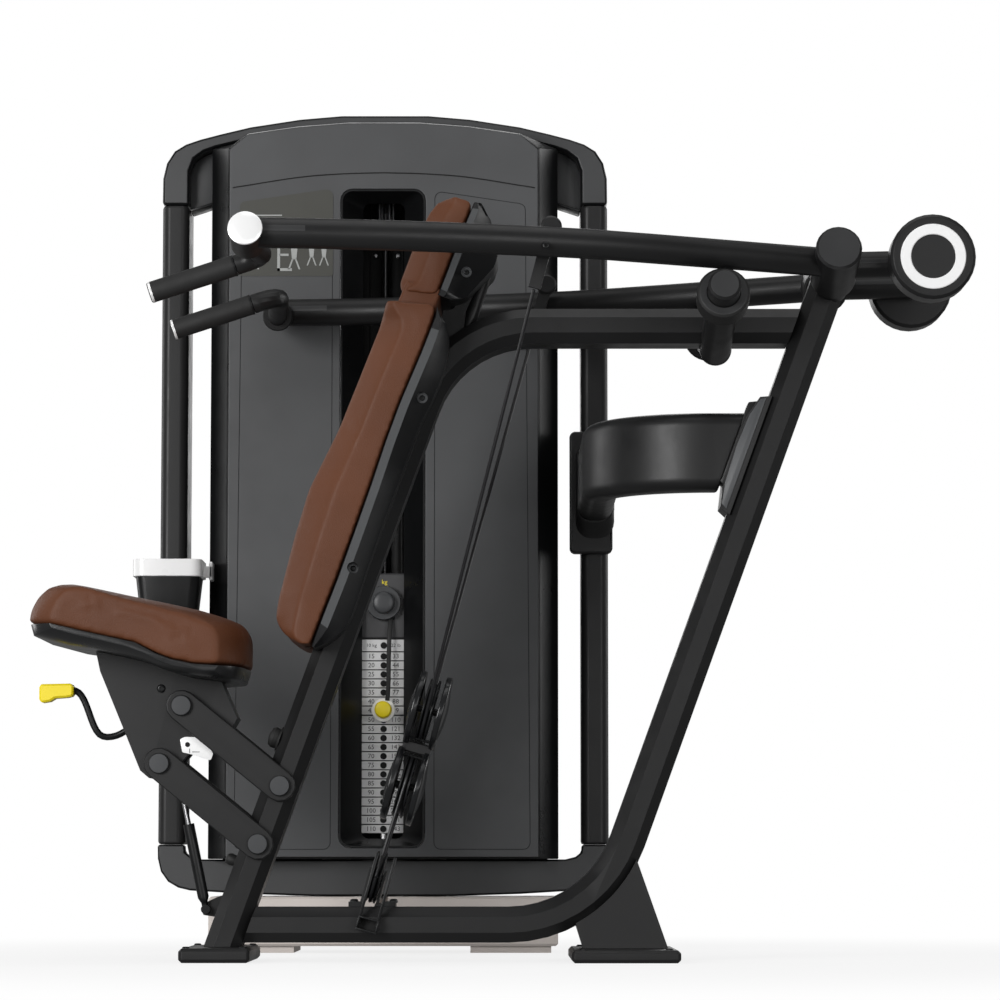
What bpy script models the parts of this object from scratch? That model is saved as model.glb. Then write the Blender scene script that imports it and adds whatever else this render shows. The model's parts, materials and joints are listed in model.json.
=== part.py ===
"""Shoulder press machine: seated press with swing arms, seat lift and a covered weight tower.

Metres, +Z up. The user sits at -X facing -X, the weight tower stands on the +Y side.
"""
import math

import bmesh
import bpy
from mathutils import Matrix, Vector

# Driving dimensions -------------------------------------------------------------------
FRAME_SHIFT = Vector((-0.0038, -0.1584, 0.0))   # puts the floor centre of the machine on the origin
GAP = 0.0005                                # clearance between pieces that bear on each other
POST_LEAN = math.radians(20.0)              # both posts lean back by this much
PIVOT_TILT = math.radians(13.2)             # the press pivots rise towards their outer ends

TUBE_DEPTH = 0.057                          # frame tube, measured in the plane of its bends
TUBE_WIDTH = 0.100                          # frame tube, measured across the machine
TUBE_CHAMFER = 0.016
TUBE_SIDE = TUBE_WIDTH / 2
LOW_TUBE_Z = 0.0585
TOP_TUBE_Z = 1.0295
TOP_BEND = 0.190
LOW_BEND = 0.205
FRONT_POST = (-0.2775, 0.488)               # a point on the centre line of the front post
REAR_POST = (0.290, 0.423)                  # a point on the centre line of the rear post

PIVOT_X = 0.540
PIVOT_Z = 1.0863                            # height of the pivot axes where they cross the middle
BARREL_RADIUS = 0.037
BARREL_START = 0.071
BARREL_END = 0.2055
SHAFT_RADIUS = 0.015
ARM_Z = 1.118
ARM_RADIUS = 0.0237
ARM_LINE = [(0.520, 0.144), (0.43, 0.190), (0.316, 0.247), (0.156, 0.325),
            (0.0, 0.376), (-0.16, 0.414), (-0.30, 0.436), (-0.388, 0.443)]
STOP_X = 0.353
STOP_RING_RADIUS = 0.042
STOP_BAR_RADIUS = 0.026
DISC_X = 0.690
DISC_Z = 1.1195
DISC_RADIUS = 0.0685

TOWER_FRONT = 0.600
TOWER_BACK = 0.720
TOWER_MID = 0.660
TOWER_X = -0.207                            # middle of the weight tower
UPRIGHT_OUTER = 0.400                       # half width over the uprights
UPRIGHT_INNER = 0.352
COVER_HALF = 0.3105
COVER_FACE = 0.530
COVER_REAR = 0.800
COVER_BOTTOM = 0.1640
WALL = 0.004
RAIL_TOP = 0.1635

STACK_BOTTOM = 0.2095
PLATE_PITCH = 0.0161
RESTING_PLATES = 13
LIFTED_PLATES = 8
HEAD_BOTTOM = 0.5544
ROD_SPREAD = 0.085

SEAT_UPPER = (-0.513, 0.410)                # link pivots on the seat carriage
SEAT_LOWER = (-0.548, 0.317)
POST_UPPER = (-0.354, 0.281)                # link pivots on the front post
POST_LOWER = (-0.389, 0.188)
SPRING_FOOT = (-0.476, 0.083)
SPRING_HEAD = (-0.535, 0.365)
LEVER_PIN = (-0.590, 0.0, 0.3835)

CABLE_LEAN = math.radians(15.3)             # the cable run leans back from the vertical
BLOCK_UPPER = (-0.117, 0.404)
BLOCK_LOWER = (-0.154, 0.282)
WHEEL_RADIUS = 0.0575
CABLE_RADIUS = 0.0030


# Materials ----------------------------------------------------------------------------
def make_finish(name, colour, metal, rough):
    finish = bpy.data.materials.new(name)
    finish.use_nodes = True
    shader = finish.node_tree.nodes["Principled BSDF"]
    shader.inputs["Base Color"].default_value = (*colour, 1.0)
    shader.inputs["Metallic"].default_value = metal
    shader.inputs["Roughness"].default_value = rough
    finish.diffuse_color = (*colour, 1.0)
    return finish


FINISHES = {
    "black_paint": ((0.022, 0.023, 0.025), 0.0, 0.42),
    "cover_grey": ((0.060, 0.062, 0.066), 0.0, 0.50),
    "dark_trim": ((0.012, 0.013, 0.014), 0.0, 0.45),
    "brown_leather": ((0.130, 0.048, 0.026), 0.0, 0.55),
    "shell_black": ((0.010, 0.011, 0.012), 0.0, 0.50),
    "rubber": ((0.012, 0.012, 0.012), 0.0, 0.80),
    "chrome": ((0.80, 0.80, 0.80), 1.0, 0.15),
    "pale_ring": ((0.72, 0.72, 0.71), 0.0, 0.30),
    "base_beige": ((0.50, 0.46, 0.43), 0.0, 0.45),
    "steel": ((0.42, 0.42, 0.43), 1.0, 0.35),
    "stack_steel": ((0.10, 0.10, 0.105), 0.2, 0.50),
    "yellow": ((0.80, 0.66, 0.03), 0.0, 0.40),
    "pin_grey": ((0.085, 0.087, 0.090), 0.3, 0.45),
    "cable_black": ((0.012, 0.012, 0.013), 0.0, 0.45),
    "placard": ((0.062, 0.062, 0.050), 0.0, 0.40),
    "white_plate": ((0.75, 0.75, 0.73), 0.0, 0.40),
}


# Shape helpers ------------------------------------------------------------------------
def corner_points(before, corner, after, radius, steps):
    """Points of the arc that rounds one corner of a path."""
    before, corner, after = Vector(before), Vector(corner), Vector(after)
    into = (corner - before).normalized()
    away = (after - corner).normalized()
    turn = into.angle(away)
    if turn < 1e-4 or radius <= 0:
        return [corner]
    reach = radius * math.tan(turn / 2)
    inward = (away - into).normalized()
    centre = corner + inward * (radius / math.cos(turn / 2))
    start = corner - into * reach - centre
    side = into * radius
    points = []
    for step in range(steps + 1):
        angle = turn * step / steps
        points.append(centre + start * math.cos(angle) + side * math.sin(angle))
    return points


def rounded_path(points, radii, steps=8):
    """An open path whose inner corners are rounded."""
    result = [Vector(points[0])]
    for index in range(1, len(points) - 1):
        result += corner_points(points[index - 1], points[index], points[index + 1],
                                radii[index - 1], steps)
    result.append(Vector(points[-1]))
    return result


def rounded_outline(points, radius, steps=5):
    """A closed outline whose corners are rounded; radius may be one value or one per corner."""
    count = len(points)
    radii = radius if isinstance(radius, (list, tuple)) else [radius] * count
    result = []
    for index in range(count):
        before = Vector((*points[index - 1], 0.0))
        corner = Vector((*points[index], 0.0))
        after = Vector((*points[(index + 1) % count], 0.0))
        result += corner_points(before, corner, after, radii[index], steps)
    return [(point.x, point.y) for point in result]


def smooth_line(points, steps=4):
    """A smooth curve that passes through every given point."""
    points = [Vector(point) for point in points]
    ends = [points[0] * 2 - points[1]] + points + [points[-1] * 2 - points[-2]]
    result = []
    for index in range(1, len(ends) - 2):
        a, b, c, d = ends[index - 1:index + 3]
        for step in range(steps):
            t = step / steps
            result.append(0.5 * ((2 * b) + (c - a) * t + (2 * a - 5 * b + 4 * c - d) * t * t
                                 + (3 * b - a - 3 * c + d) * t * t * t))
    result.append(points[-1])
    return result


def circle(radius, steps):
    return [(radius * math.cos(2 * math.pi * i / steps), radius * math.sin(2 * math.pi * i / steps))
            for i in range(steps)]


def chamfered(width, depth, chamfer):
    """Closed section with cut corners: width runs sideways, depth runs up."""
    w, d = width / 2, depth / 2
    return [(w, -d + chamfer), (w, d - chamfer), (w - chamfer, d), (-w + chamfer, d),
            (-w, d - chamfer), (-w, -d + chamfer), (-w + chamfer, -d), (w - chamfer, -d)]


def bridge(mesh, rings, closed):
    """Joins rings of equal size with faces and closes both ends."""
    count = len(rings[0])
    pairs = list(zip(rings, rings[1:]))
    if closed:
        pairs.append((rings[-1], rings[0]))
    for first, second in pairs:
        for i in range(count):
            j = (i + 1) % count
            mesh.faces.new((first[i], first[j], second[j], second[i]))
    if not closed:
        mesh.faces.new(list(reversed(rings[0])))
        mesh.faces.new(rings[-1])


def sweep(path, section, side=(0.0, 1.0, 0.0), start_plane=None, end_plane=None):
    """Carries a section along a path; the section's first axis stays close to `side`."""
    path = [Vector(point) for point in path]
    mesh = bmesh.new()
    rings = []
    last = len(path) - 1
    for index, point in enumerate(path):
        ahead = (path[min(index + 1, last)] - point)
        behind = (point - path[max(index - 1, 0)])
        along = (ahead.normalized() if index == 0 else behind.normalized())
        if 0 < index < last:
            along = (ahead.normalized() + behind.normalized()).normalized()
        across = (Vector(side) - along * along.dot(Vector(side))).normalized()
        up = along.cross(across)
        plane = start_plane if index == 0 else end_plane if index == last else None
        ring = []
        for a, b in section:
            spot = point + across * a + up * b
            if plane:
                centre, normal = Vector(plane[0]), Vector(plane[1])
                spot += along * ((centre - spot).dot(normal) / along.dot(normal))
            ring.append(mesh.verts.new(spot))
        rings.append(ring)
    bridge(mesh, rings, closed=False)
    return mesh


def prism(outline, low, high, axis="Y"):
    """Solid with a flat outline: (x, z) along Y, (x, y) along Z or (y, z) along X."""
    place = {"Y": lambda p, t: (p[0], t, p[1]), "Z": lambda p, t: (p[0], p[1], t),
             "X": lambda p, t: (t, p[0], p[1])}[axis]
    mesh = bmesh.new()
    rings = [[mesh.verts.new(place(point, level)) for point in outline] for level in (low, high)]
    bridge(mesh, rings, closed=False)
    return mesh


def block(x0, x1, y0, y1, z0, z1):
    return prism([(x0, z0), (x1, z0), (x1, z1), (x0, z1)], y0, y1)


def lathe(start, direction, profile, steps=32, closed=False):
    """Turned solid: profile lists (distance along the axis, radius)."""
    start, along = Vector(start), Vector(direction).normalized()
    helper = Vector((0, 0, 1)) if abs(along.z) < 0.9 else Vector((1, 0, 0))
    across = along.cross(helper).normalized()
    up = along.cross(across)
    mesh = bmesh.new()
    rings = []
    for distance, radius in profile:
        centre = start + along * distance
        if radius == 0:
            rings.append([mesh.verts.new(centre)])
            continue
        rings.append([mesh.verts.new(centre + across * a + up * b) for a, b in circle(radius, steps)])
    if closed or (len(rings[0]) > 1 and len(rings[-1]) > 1):
        bridge(mesh, rings, closed)
        return mesh
    for first, second in zip(rings, rings[1:]):
        for i in range(steps):
            j = (i + 1) % steps
            loop = [first[i % len(first)], first[j % len(first)],
                    second[j % len(second)], second[i % len(second)]]
            mesh.faces.new(list(dict.fromkeys(loop)))
    return mesh


def sleeve(start, direction, profile, steps=24):
    """Turned cup: the profile runs out along the outside and returns along the bore."""
    start, along = Vector(start), Vector(direction).normalized()
    across = along.cross(Vector((0, 1, 0))).normalized()
    up = along.cross(across)
    mesh = bmesh.new()
    rings = []
    for distance, radius in profile:
        centre = start + along * distance
        spots = [centre] if radius == 0 else [centre + across * a + up * b for a, b in circle(radius, steps)]
        rings.append([mesh.verts.new(spot) for spot in spots])
    pairs = [pair for pair in zip(rings, rings[1:] + rings[:1]) if len(pair[0]) > 1 or len(pair[1]) > 1]
    for first, second in pairs:
        for i in range(steps):
            j = (i + 1) % steps
            loop = [first[i % len(first)], first[j % len(first)],
                    second[j % len(second)], second[i % len(second)]]
            mesh.faces.new(list(dict.fromkeys(loop)))
    return mesh


def rod(start, end, radius, steps=32, edge=0.0):
    """Round bar with optional cut edges at both ends."""
    start, end = Vector(start), Vector(end)
    length = (end - start).length
    profile = [(0, 0), (0, radius - edge), (edge, radius), (length - edge, radius),
               (length, radius - edge), (length, 0)]
    if edge == 0:
        profile = [(0, radius), (length, radius)]
    return lathe(start, end - start, profile, steps)


def ring(start, end, inner, outer, steps=32, edge=0.001):
    """Round sleeve with cut outer edges."""
    start, end = Vector(start), Vector(end)
    length = (end - start).length
    profile = [(0, inner), (0, outer - edge), (edge, outer), (length - edge, outer),
               (length, outer - edge), (length, inner)]
    return lathe(start, end - start, profile, steps, closed=True)


def piece(name, mesh, finish, pivot=(0.0, 0.0, 0.0), bevel=0.0, bevel_angle=30.0, smooth=True):
    """Turns a built shape into a named object whose origin sits on its pivot."""
    pivot = Vector(pivot)
    bmesh.ops.recalc_face_normals(mesh, faces=mesh.faces)
    if bevel:
        edges = [edge for edge in mesh.edges
                 if edge.is_manifold and edge.calc_face_angle() > math.radians(bevel_angle)]
        bmesh.ops.bevel(mesh, geom=edges, offset=bevel, segments=1, affect="EDGES", clamp_overlap=True)
    bmesh.ops.translate(mesh, verts=mesh.verts, vec=-pivot)
    data = bpy.data.meshes.new(name)
    mesh.to_mesh(data)
    mesh.free()
    thing = bpy.data.objects.new(name, data)
    thing.location = pivot + FRAME_SHIFT
    bpy.context.collection.objects.link(thing)
    thing.data.materials.append(MATERIALS[finish])
    if smooth:
        data.shade_smooth()
        data.set_sharp_from_angle(angle=math.radians(32))
    return thing


def reshape(thing, mesh, operation="DIFFERENCE"):
    """Cuts a tool shape out of an object, or joins it on."""
    tool = piece("tool", mesh, "black_paint", smooth=False)
    tool.hide_render = True
    tool.display_type = "WIRE"
    change = thing.modifiers.new("shape", "BOOLEAN")
    change.solver = "EXACT"
    change.operation = operation
    change.object = tool
    bpy.context.view_layer.update()
    view = bpy.context.evaluated_depsgraph_get()
    data = bpy.data.meshes.new_from_object(thing.evaluated_get(view))
    thing.modifiers.clear()
    old = thing.data
    thing.data = data
    bpy.data.objects.remove(tool)
    bpy.data.meshes.remove(old)
    data.name = thing.name
    data.shade_smooth()
    data.set_sharp_from_angle(angle=math.radians(32))


def on_post(post, height):
    """Centre-line x of a leaning post at a given height."""
    return post[0] + (height - post[1]) * math.tan(POST_LEAN)


def along_pivot(side, distance, x=PIVOT_X, middle_z=PIVOT_Z):
    """A point on a tilted cross axis; side is -1 for the left arm and +1 for the right arm."""
    return Vector((x, side * distance * math.cos(PIVOT_TILT), middle_z + distance * math.sin(PIVOT_TILT)))


LEAN = Vector((math.sin(POST_LEAN), 0.0, math.cos(POST_LEAN)))
LEAN_SIDE = Vector((math.cos(POST_LEAN), 0.0, -math.sin(POST_LEAN)))
SIDES = (("left", -1), ("right", 1))


# Main frame ---------------------------------------------------------------------------
def front_tube():
    low = (on_post(FRONT_POST, 0.0235), 0, 0.0235)
    top = (on_post(FRONT_POST, TOP_TUBE_Z), 0, TOP_TUBE_Z)
    back = on_post(REAR_POST, TOP_TUBE_Z)
    weld = Vector((back, 0, TOP_TUBE_Z)) - LEAN_SIDE * (TUBE_DEPTH / 2 + GAP)
    path = rounded_path([low, top, (back - 0.03, 0, TOP_TUBE_Z)], [TOP_BEND], 9)
    tube = piece("front_frame_tube",
                 sweep(path, chamfered(TUBE_WIDTH, TUBE_DEPTH, TUBE_CHAMFER),
                       start_plane=(low, (0, 0, 1)), end_plane=(weld, LEAN_SIDE)), "black_paint")
    for spot in (POST_UPPER, POST_LOWER):
        reshape(tube, link_pin(spot), "UNION")
    reshape(tube, gas_spring_bracket(), "UNION")
    reshape(tube, head_bracket(), "UNION")


def rear_tube():
    start = (on_post(FRONT_POST, LOW_TUBE_Z), 0, LOW_TUBE_Z)
    weld = Vector(start) + LEAN_SIDE * (TUBE_DEPTH / 2 + GAP)
    corner = (on_post(REAR_POST, LOW_TUBE_Z), 0, LOW_TUBE_Z)
    top = (on_post(REAR_POST, 1.104), 0, 1.104)
    path = rounded_path([(start[0] + 0.03, 0, LOW_TUBE_Z), corner, top], [LOW_BEND], 9)
    tube = piece("rear_frame_tube",
                 sweep(path, chamfered(TUBE_WIDTH, TUBE_DEPTH, TUBE_CHAMFER),
                start_plane=(weld, LEAN_SIDE), end_plane=(top, LEAN)), "black_paint")
    reshape(tube, pedestal(), "UNION")
    reshape(tube, tie_plate(), "UNION")
    for side in (-1, 1):
        reshape(tube, pivot_shaft(side), "UNION")


def frame_feet():
    piece("front_foot", block(-0.509, -0.396, -0.145, 0.145, 0.0, 0.0230), "black_paint", bevel=0.005)
    piece("rear_foot", block(0.113, 0.286, -0.160, 0.160, 0.0, 0.0205), "black_paint", bevel=0.005)


def pedestal():
    """Gusset under the rear bend, standing on the rear foot."""
    centre_x = on_post(REAR_POST, LOW_TUBE_Z) - LOW_BEND * math.tan((math.pi / 2 - POST_LEAN) / 2)
    centre_z = LOW_TUBE_Z + LOW_BEND
    reach = LOW_BEND + TUBE_DEPTH / 2 - 0.004
    outline = []
    for step in range(9):
        angle = math.radians(-62 + 36 * step / 8)
        outline.append((centre_x + reach * math.cos(angle), centre_z + reach * math.sin(angle)))
    outline += [(0.270, 0.0210), (0.134, 0.0210)]
    return prism(outline, -0.045, 0.045)


def pivot_shaft(side):
    """Hub and spigot that one arm barrel turns on."""
    out = along_pivot(side, 1.0, 0, 0)
    start = along_pivot(side, 0.030)
    hub = BARREL_START - GAP - 0.030
    spigot = BARREL_END - 0.030 - 0.012
    return lathe(start, out, [(0, 0), (0, 0.028), (hub, 0.028), (hub, SHAFT_RADIUS),
                              (spigot, SHAFT_RADIUS), (spigot, 0)])


def arm_stops():
    """Cross-bar under the top tube, with a rubber ring near each end for an arm to rest on."""
    arm_y = 0.2285
    drop = (ARM_RADIUS + STOP_RING_RADIUS) / math.cos(PIVOT_TILT) + 2 * GAP
    middle_z = ARM_Z - drop - arm_y * math.tan(PIVOT_TILT)
    bar = piece("arm_stop_bar",
                rod(along_pivot(-1, -0.012, STOP_X, middle_z), along_pivot(-1, 0.292, STOP_X, middle_z),
                    STOP_BAR_RADIUS, edge=0.004), "black_paint")
    reshape(bar, rod(along_pivot(1, -0.012, STOP_X, middle_z), along_pivot(1, 0.292, STOP_X, middle_z),
                     STOP_BAR_RADIUS, edge=0.004), "UNION")
    half = TUBE_DEPTH / 2 + GAP
    reshape(bar, block(STOP_X - 0.06, STOP_X + 0.06, -TUBE_SIDE - GAP, TUBE_SIDE + GAP,
                       TOP_TUBE_Z - half, TOP_TUBE_Z + 0.1))
    for label, side in SIDES:
        piece(label + "_stop_ring",
              ring(along_pivot(side, 0.213, STOP_X, middle_z), along_pivot(side, 0.257, STOP_X, middle_z),
                   STOP_BAR_RADIUS + GAP, STOP_RING_RADIUS, edge=0.004), "rubber")


def link_stops():
    """Rubber blocks on the front post that end the seat travel, and the gas spring foot."""
    for name, height, size in (("upper_seat_stop", 0.347, 0.040), ("lower_seat_stop", 0.150, 0.046)):
        face = Vector((on_post(FRONT_POST, height), 0, height)) - LEAN_SIDE * (TUBE_DEPTH / 2 + GAP)
        corners = [face + LEAN * size / 2, face + LEAN * size * 0.35 - LEAN_SIDE * 0.020,
                   face - LEAN * size * 0.35 - LEAN_SIDE * 0.020, face - LEAN * size / 2]
        low, high = (-0.030, 0.030) if name.startswith("upper") else (0.016, 0.034)
        piece(name, prism([(point.x, point.z) for point in corners], low, high), "rubber")


def gas_spring_bracket():
    """Lug beside the lower end of the gas spring."""
    face = on_post(FRONT_POST, 0.083) - TUBE_DEPTH / 2 / math.cos(POST_LEAN)
    x, z = SPRING_FOOT
    outline = [(face + 0.014, 0.108), (face - 0.004, 0.102), (x - 0.004, z + 0.0095), (x - 0.0090, z),
               (x - 0.004, z - 0.0095), (face - 0.002, 0.070), (face + 0.003, 0.066)]
    return prism(outline, 0.0080, 0.0140)


# Backrest -----------------------------------------------------------------------------
BACK_SEAM = [(-0.1055, 1.052), (-0.121, 1.010), (-0.183, 0.851), (-0.232, 0.720), (-0.264, 0.610),
             (-0.2785, 0.545), (-0.283, 0.512)]


def backrest():
    front = [(-0.181, 1.058), (-0.192, 1.020), (-0.258, 0.853), (-0.306, 0.755), (-0.330, 0.675),
             (-0.355, 0.575), (-0.358, 0.545), (-0.349, 0.523), (-0.300, 0.499)]
    pad = piece("back_pad", prism(front + list(reversed(BACK_SEAM)), -0.150, 0.150), "brown_leather",
                bevel=0.012, bevel_angle=50)
    seam = [(x + 0.0006, z) for x, z in BACK_SEAM]
    back = [(-0.283, 0.494), (-0.262, 0.499), (-0.232, 0.535), (-0.205, 0.610), (-0.118, 0.857),
            (-0.084, 0.978), (-0.086, 1.002), (-0.100, 1.036)]
    shell = piece("back_shell", prism(seam + back, -0.138, 0.138), "shell_black", bevel=0.008, bevel_angle=50)
    front_face = [(on_post(FRONT_POST, z) - TUBE_DEPTH / 2 / math.cos(POST_LEAN) - GAP, z)
                  for z in (0.45, 0.780)]
    channel = front_face + bend_points(TOP_BEND + TUBE_DEPTH / 2 + 0.001, 160, 98, 12) + [(0.05, 1.1), (0.1, 0.4)]
    for part in (pad, shell):
        reshape(part, prism(channel, -TUBE_SIDE - GAP, TUBE_SIDE + GAP))
    reshape(shell, prism([(-0.104, 0.97), (-0.0975, 1.062), (-0.04, 1.062), (-0.04, 0.97)], -0.0245, 0.0245))


def bend_points(radius, start, end, steps):
    """Points on a circle about the centre of the top bend, angles in degrees from +X."""
    centre_x = on_post(FRONT_POST, TOP_TUBE_Z) + TOP_BEND * math.tan((math.pi / 2 - POST_LEAN) / 2)
    centre_z = TOP_TUBE_Z - TOP_BEND
    points = []
    for step in range(steps + 1):
        angle = math.radians(start + (end - start) * step / steps)
        points.append((centre_x + radius * math.cos(angle), centre_z + radius * math.sin(angle)))
    return points


def headrest():
    seam = [(-0.0425, 1.2200), (-0.0592, 1.1790), (-0.0844, 1.1120), (-0.1010, 1.0680)]
    front = [(-0.160, 1.074), (-0.1625, 1.090), (-0.142, 1.145), (-0.1155, 1.2050), (-0.1000, 1.2250),
             (-0.0790, 1.2320)]
    piece("head_pad", prism(front + seam, -0.125, 0.125), "brown_leather", bevel=0.010, bevel_angle=45)
    seam_back = [(x + 0.0006, z) for x, z in reversed(seam)]
    shell = piece("head_shell", prism(seam_back + [(-0.0270, 1.2165), (-0.0145, 1.1960), (-0.0035, 1.1400),
                                                   (-0.0090, 1.1210), (-0.0560, 1.0690), (-0.0670, 1.0625),
                                                   (-0.0900, 1.0620)], -0.115, 0.115), "shell_black",
                  bevel=0.006, bevel_angle=45)
    channel = [(-0.0565, 1.1300), (-0.0765, 1.0850), (-0.0900, 1.0500), (0.020, 1.050), (0.020, 1.1465),
               (-0.0500, 1.1465)]
    reshape(shell, prism(channel, -0.0250, 0.0250))


def head_bracket():
    """Plate on top of the front bend that carries the head pad."""
    foot = bend_points(TOP_BEND + TUBE_DEPTH / 2 - 0.006, 136, 122, 4)
    return prism(foot + [(-0.056, 1.055), (-0.0195, 1.140), (-0.0375, 1.1446),
                         (-0.0755, 1.0600), (-0.0842, 1.0570), (-0.093, 1.0570)], -0.024, 0.024)


# Tie arm to the tower -----------------------------------------------------------------
TIE_FACE = Vector((on_post(REAR_POST, 0.813), 0, 0.813)) - LEAN_SIDE * (TUBE_DEPTH / 2)


def tie_plate():
    """Lens-shaped plate on the face of the rear post."""
    outline = []
    for along, out in ((0.098, -0.004), (-0.108, -0.004), (-0.100, 0.014), (-0.060, 0.0235), (0.0, 0.026),
                       (0.055, 0.0235), (0.090, 0.014)):
        spot = TIE_FACE + LEAN * along - LEAN_SIDE * out
        outline.append((spot.x, spot.z))
    return prism(outline, -0.046, 0.046)


def tie_arm():
    path = rounded_path([(0.1685, 0.5700, 0.825), (0.1685, 0.0, 0.825), (0.42, 0.0, 0.825)], [0.178], 16)
    face = TIE_FACE - LEAN_SIDE * 0.0265
    tall, wide = 0.1290, 0.062
    section = rounded_outline([(-tall / 2, -wide / 2), (tall / 2, -wide / 2),
                               (tall / 2, wide / 2), (-tall / 2, wide / 2)], 0.022, 3)
    arm = piece("tie_arm", sweep(path[:-1] + [Vector((0.385, 0.0, 0.825))], section, side=(0, 0, 1),
                                 end_plane=(face, LEAN_SIDE)), "black_paint")
    clamp = [(0.124, 0.705), (0.200, 0.705), (0.200, 0.922), (0.124, 0.922)]
    reshape(arm, prism(rounded_outline(clamp, 0.008, 2), 0.5650, TOWER_FRONT - GAP), "UNION")


# Weight tower -------------------------------------------------------------------------
def mirrored(points):
    """Completes half an outline about the middle of the tower."""
    return points + [(2 * TOWER_X - x, z) for x, z in reversed(points)]


ARCH_OUTER = [(-0.607, 1.3358), (-0.6065, 1.384), (-0.600, 1.412), (-0.586, 1.434), (-0.566, 1.4465),
              (-0.540, 1.4555), (-0.504, 1.4650), (-0.450, 1.4780), (-0.360, 1.4920), (-0.285, 1.4985)]
ARCH_INNER = [(-0.559, 1.3358), (-0.559, 1.398), (-0.551, 1.420), (-0.533, 1.433), (-0.512, 1.4405),
              (-0.450, 1.4555), (-0.360, 1.4685), (-0.270, 1.4755)]


def tower_loop():
    for label, side in SIDES:
        inner, outer = TOWER_X + side * UPRIGHT_INNER, TOWER_X + side * UPRIGHT_OUTER
        low, high = min(inner, outer), max(inner, outer)
        section = [(low, TOWER_FRONT + 0.010), (low + 0.010, TOWER_FRONT), (high - 0.010, TOWER_FRONT),
                   (high, TOWER_FRONT + 0.010), (high, TOWER_BACK - 0.010), (high - 0.010, TOWER_BACK),
                   (low + 0.010, TOWER_BACK), (low, TOWER_BACK - 0.010)]
        piece(label + "_upright", prism(section, 0.1900, 1.3353, axis="Z"), "black_paint")
    outline = mirrored(ARCH_OUTER) + list(reversed(mirrored(ARCH_INNER)))
    piece("top_arch", prism(outline, TOWER_FRONT, TOWER_BACK), "black_paint", bevel=0.004)
    lower = [(-0.607, 0.1895), (-0.6065, 0.165), (-0.601, 0.142), (-0.588, 0.124), (-0.570, 0.1135),
             (-0.549, 0.1085), (-0.450, 0.1025), (-0.330, 0.0985)]
    upper = [(-0.559, 0.1895), (-0.558, 0.176), (-0.548, 0.168), (-0.530, RAIL_TOP)]
    outline = mirrored(lower) + list(reversed(mirrored(upper)))
    piece("bottom_rail", prism(outline, TOWER_FRONT, TOWER_FRONT + 0.030), "black_paint", bevel=0.003)


def cover_outline(inset, top_inset):
    half = COVER_HALF - inset
    low = COVER_BOTTOM + min(inset, top_inset)
    side = [(TOWER_X - half, low), (TOWER_X - half, 1.4358 - top_inset - inset * 0.2),
            (-0.450, 1.4548 - top_inset), (-0.360, 1.4678 - top_inset), (-0.270, 1.4748 - top_inset)]
    return mirrored(side)


def loft(levels):
    """Solid through equal outlines (x, z) set at increasing y."""
    mesh = bmesh.new()
    rings = [[mesh.verts.new((x, y, z)) for x, z in outline] for y, outline in levels]
    bridge(mesh, rings, closed=False)
    return mesh


def covers():
    front = piece("front_cover", loft([(COVER_FACE, cover_outline(0.036, 0.004)),
                                       (COVER_FACE + 0.012, cover_outline(0.032, 0.0)),
                                       (TOWER_FRONT - 0.004, cover_outline(0.0, 0.0)),
                                       (TOWER_MID - GAP / 2, cover_outline(0.0, 0.0))]), "cover_grey")
    reshape(front, loft([(COVER_FACE + WALL, cover_outline(0.041, 0.008)),
                         (TOWER_FRONT, cover_outline(WALL, WALL)),
                         (TOWER_MID + 0.02, cover_outline(WALL, WALL))]))
    reshape(front, prism(window_outline(0.0005), COVER_FACE - 0.01, COVER_FACE + 0.012))
    reshape(front, block(-0.335, -0.079, 0.595, 0.700, COVER_BOTTOM - 0.01, COVER_BOTTOM + 0.01))
    rear = piece("rear_cover", loft([(TOWER_MID + GAP / 2, cover_outline(0.0, 0.0)),
                                     (COVER_REAR - 0.030, cover_outline(0.0, 0.0)),
                                     (COVER_REAR, cover_outline(0.018, 0.010))]), "cover_grey")
    reshape(rear, loft([(TOWER_MID - 0.02, cover_outline(WALL, WALL)),
                        (COVER_REAR - 0.032, cover_outline(WALL, WALL)),
                        (COVER_REAR - WALL, cover_outline(0.021, 0.014))]))
    reshape(rear, block(-0.335, -0.079, 0.600, 0.770, COVER_BOTTOM - 0.01, COVER_BOTTOM + 0.01))


def window_outline(grow, narrow=0.0, short=0.0):
    x0, x1 = -0.283 - grow + narrow, -0.133 + grow - narrow
    z0, z1 = 0.184 - grow + short, 1.352 + grow - short
    return rounded_outline([(x0, z0), (x1, z0), (x1, z1), (x0, z1)], 0.020 + grow - narrow * 0.2, 4)


def window_bezel():
    mesh = bmesh.new()
    levels = [(COVER_FACE + 0.0005, window_outline(0.0)), (COVER_FACE + 0.0005, window_outline(-0.003)),
              (0.588, window_outline(0.0, 0.038, 0.016)), (0.588, window_outline(0.0, 0.035, 0.013)),
              (COVER_FACE + 0.008, window_outline(0.0))]
    rings = [[mesh.verts.new((x, y, z)) for x, z in outline] for y, outline in levels]
    bridge(mesh, rings, closed=True)
    piece("window_bezel", mesh, "dark_trim")


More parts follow.
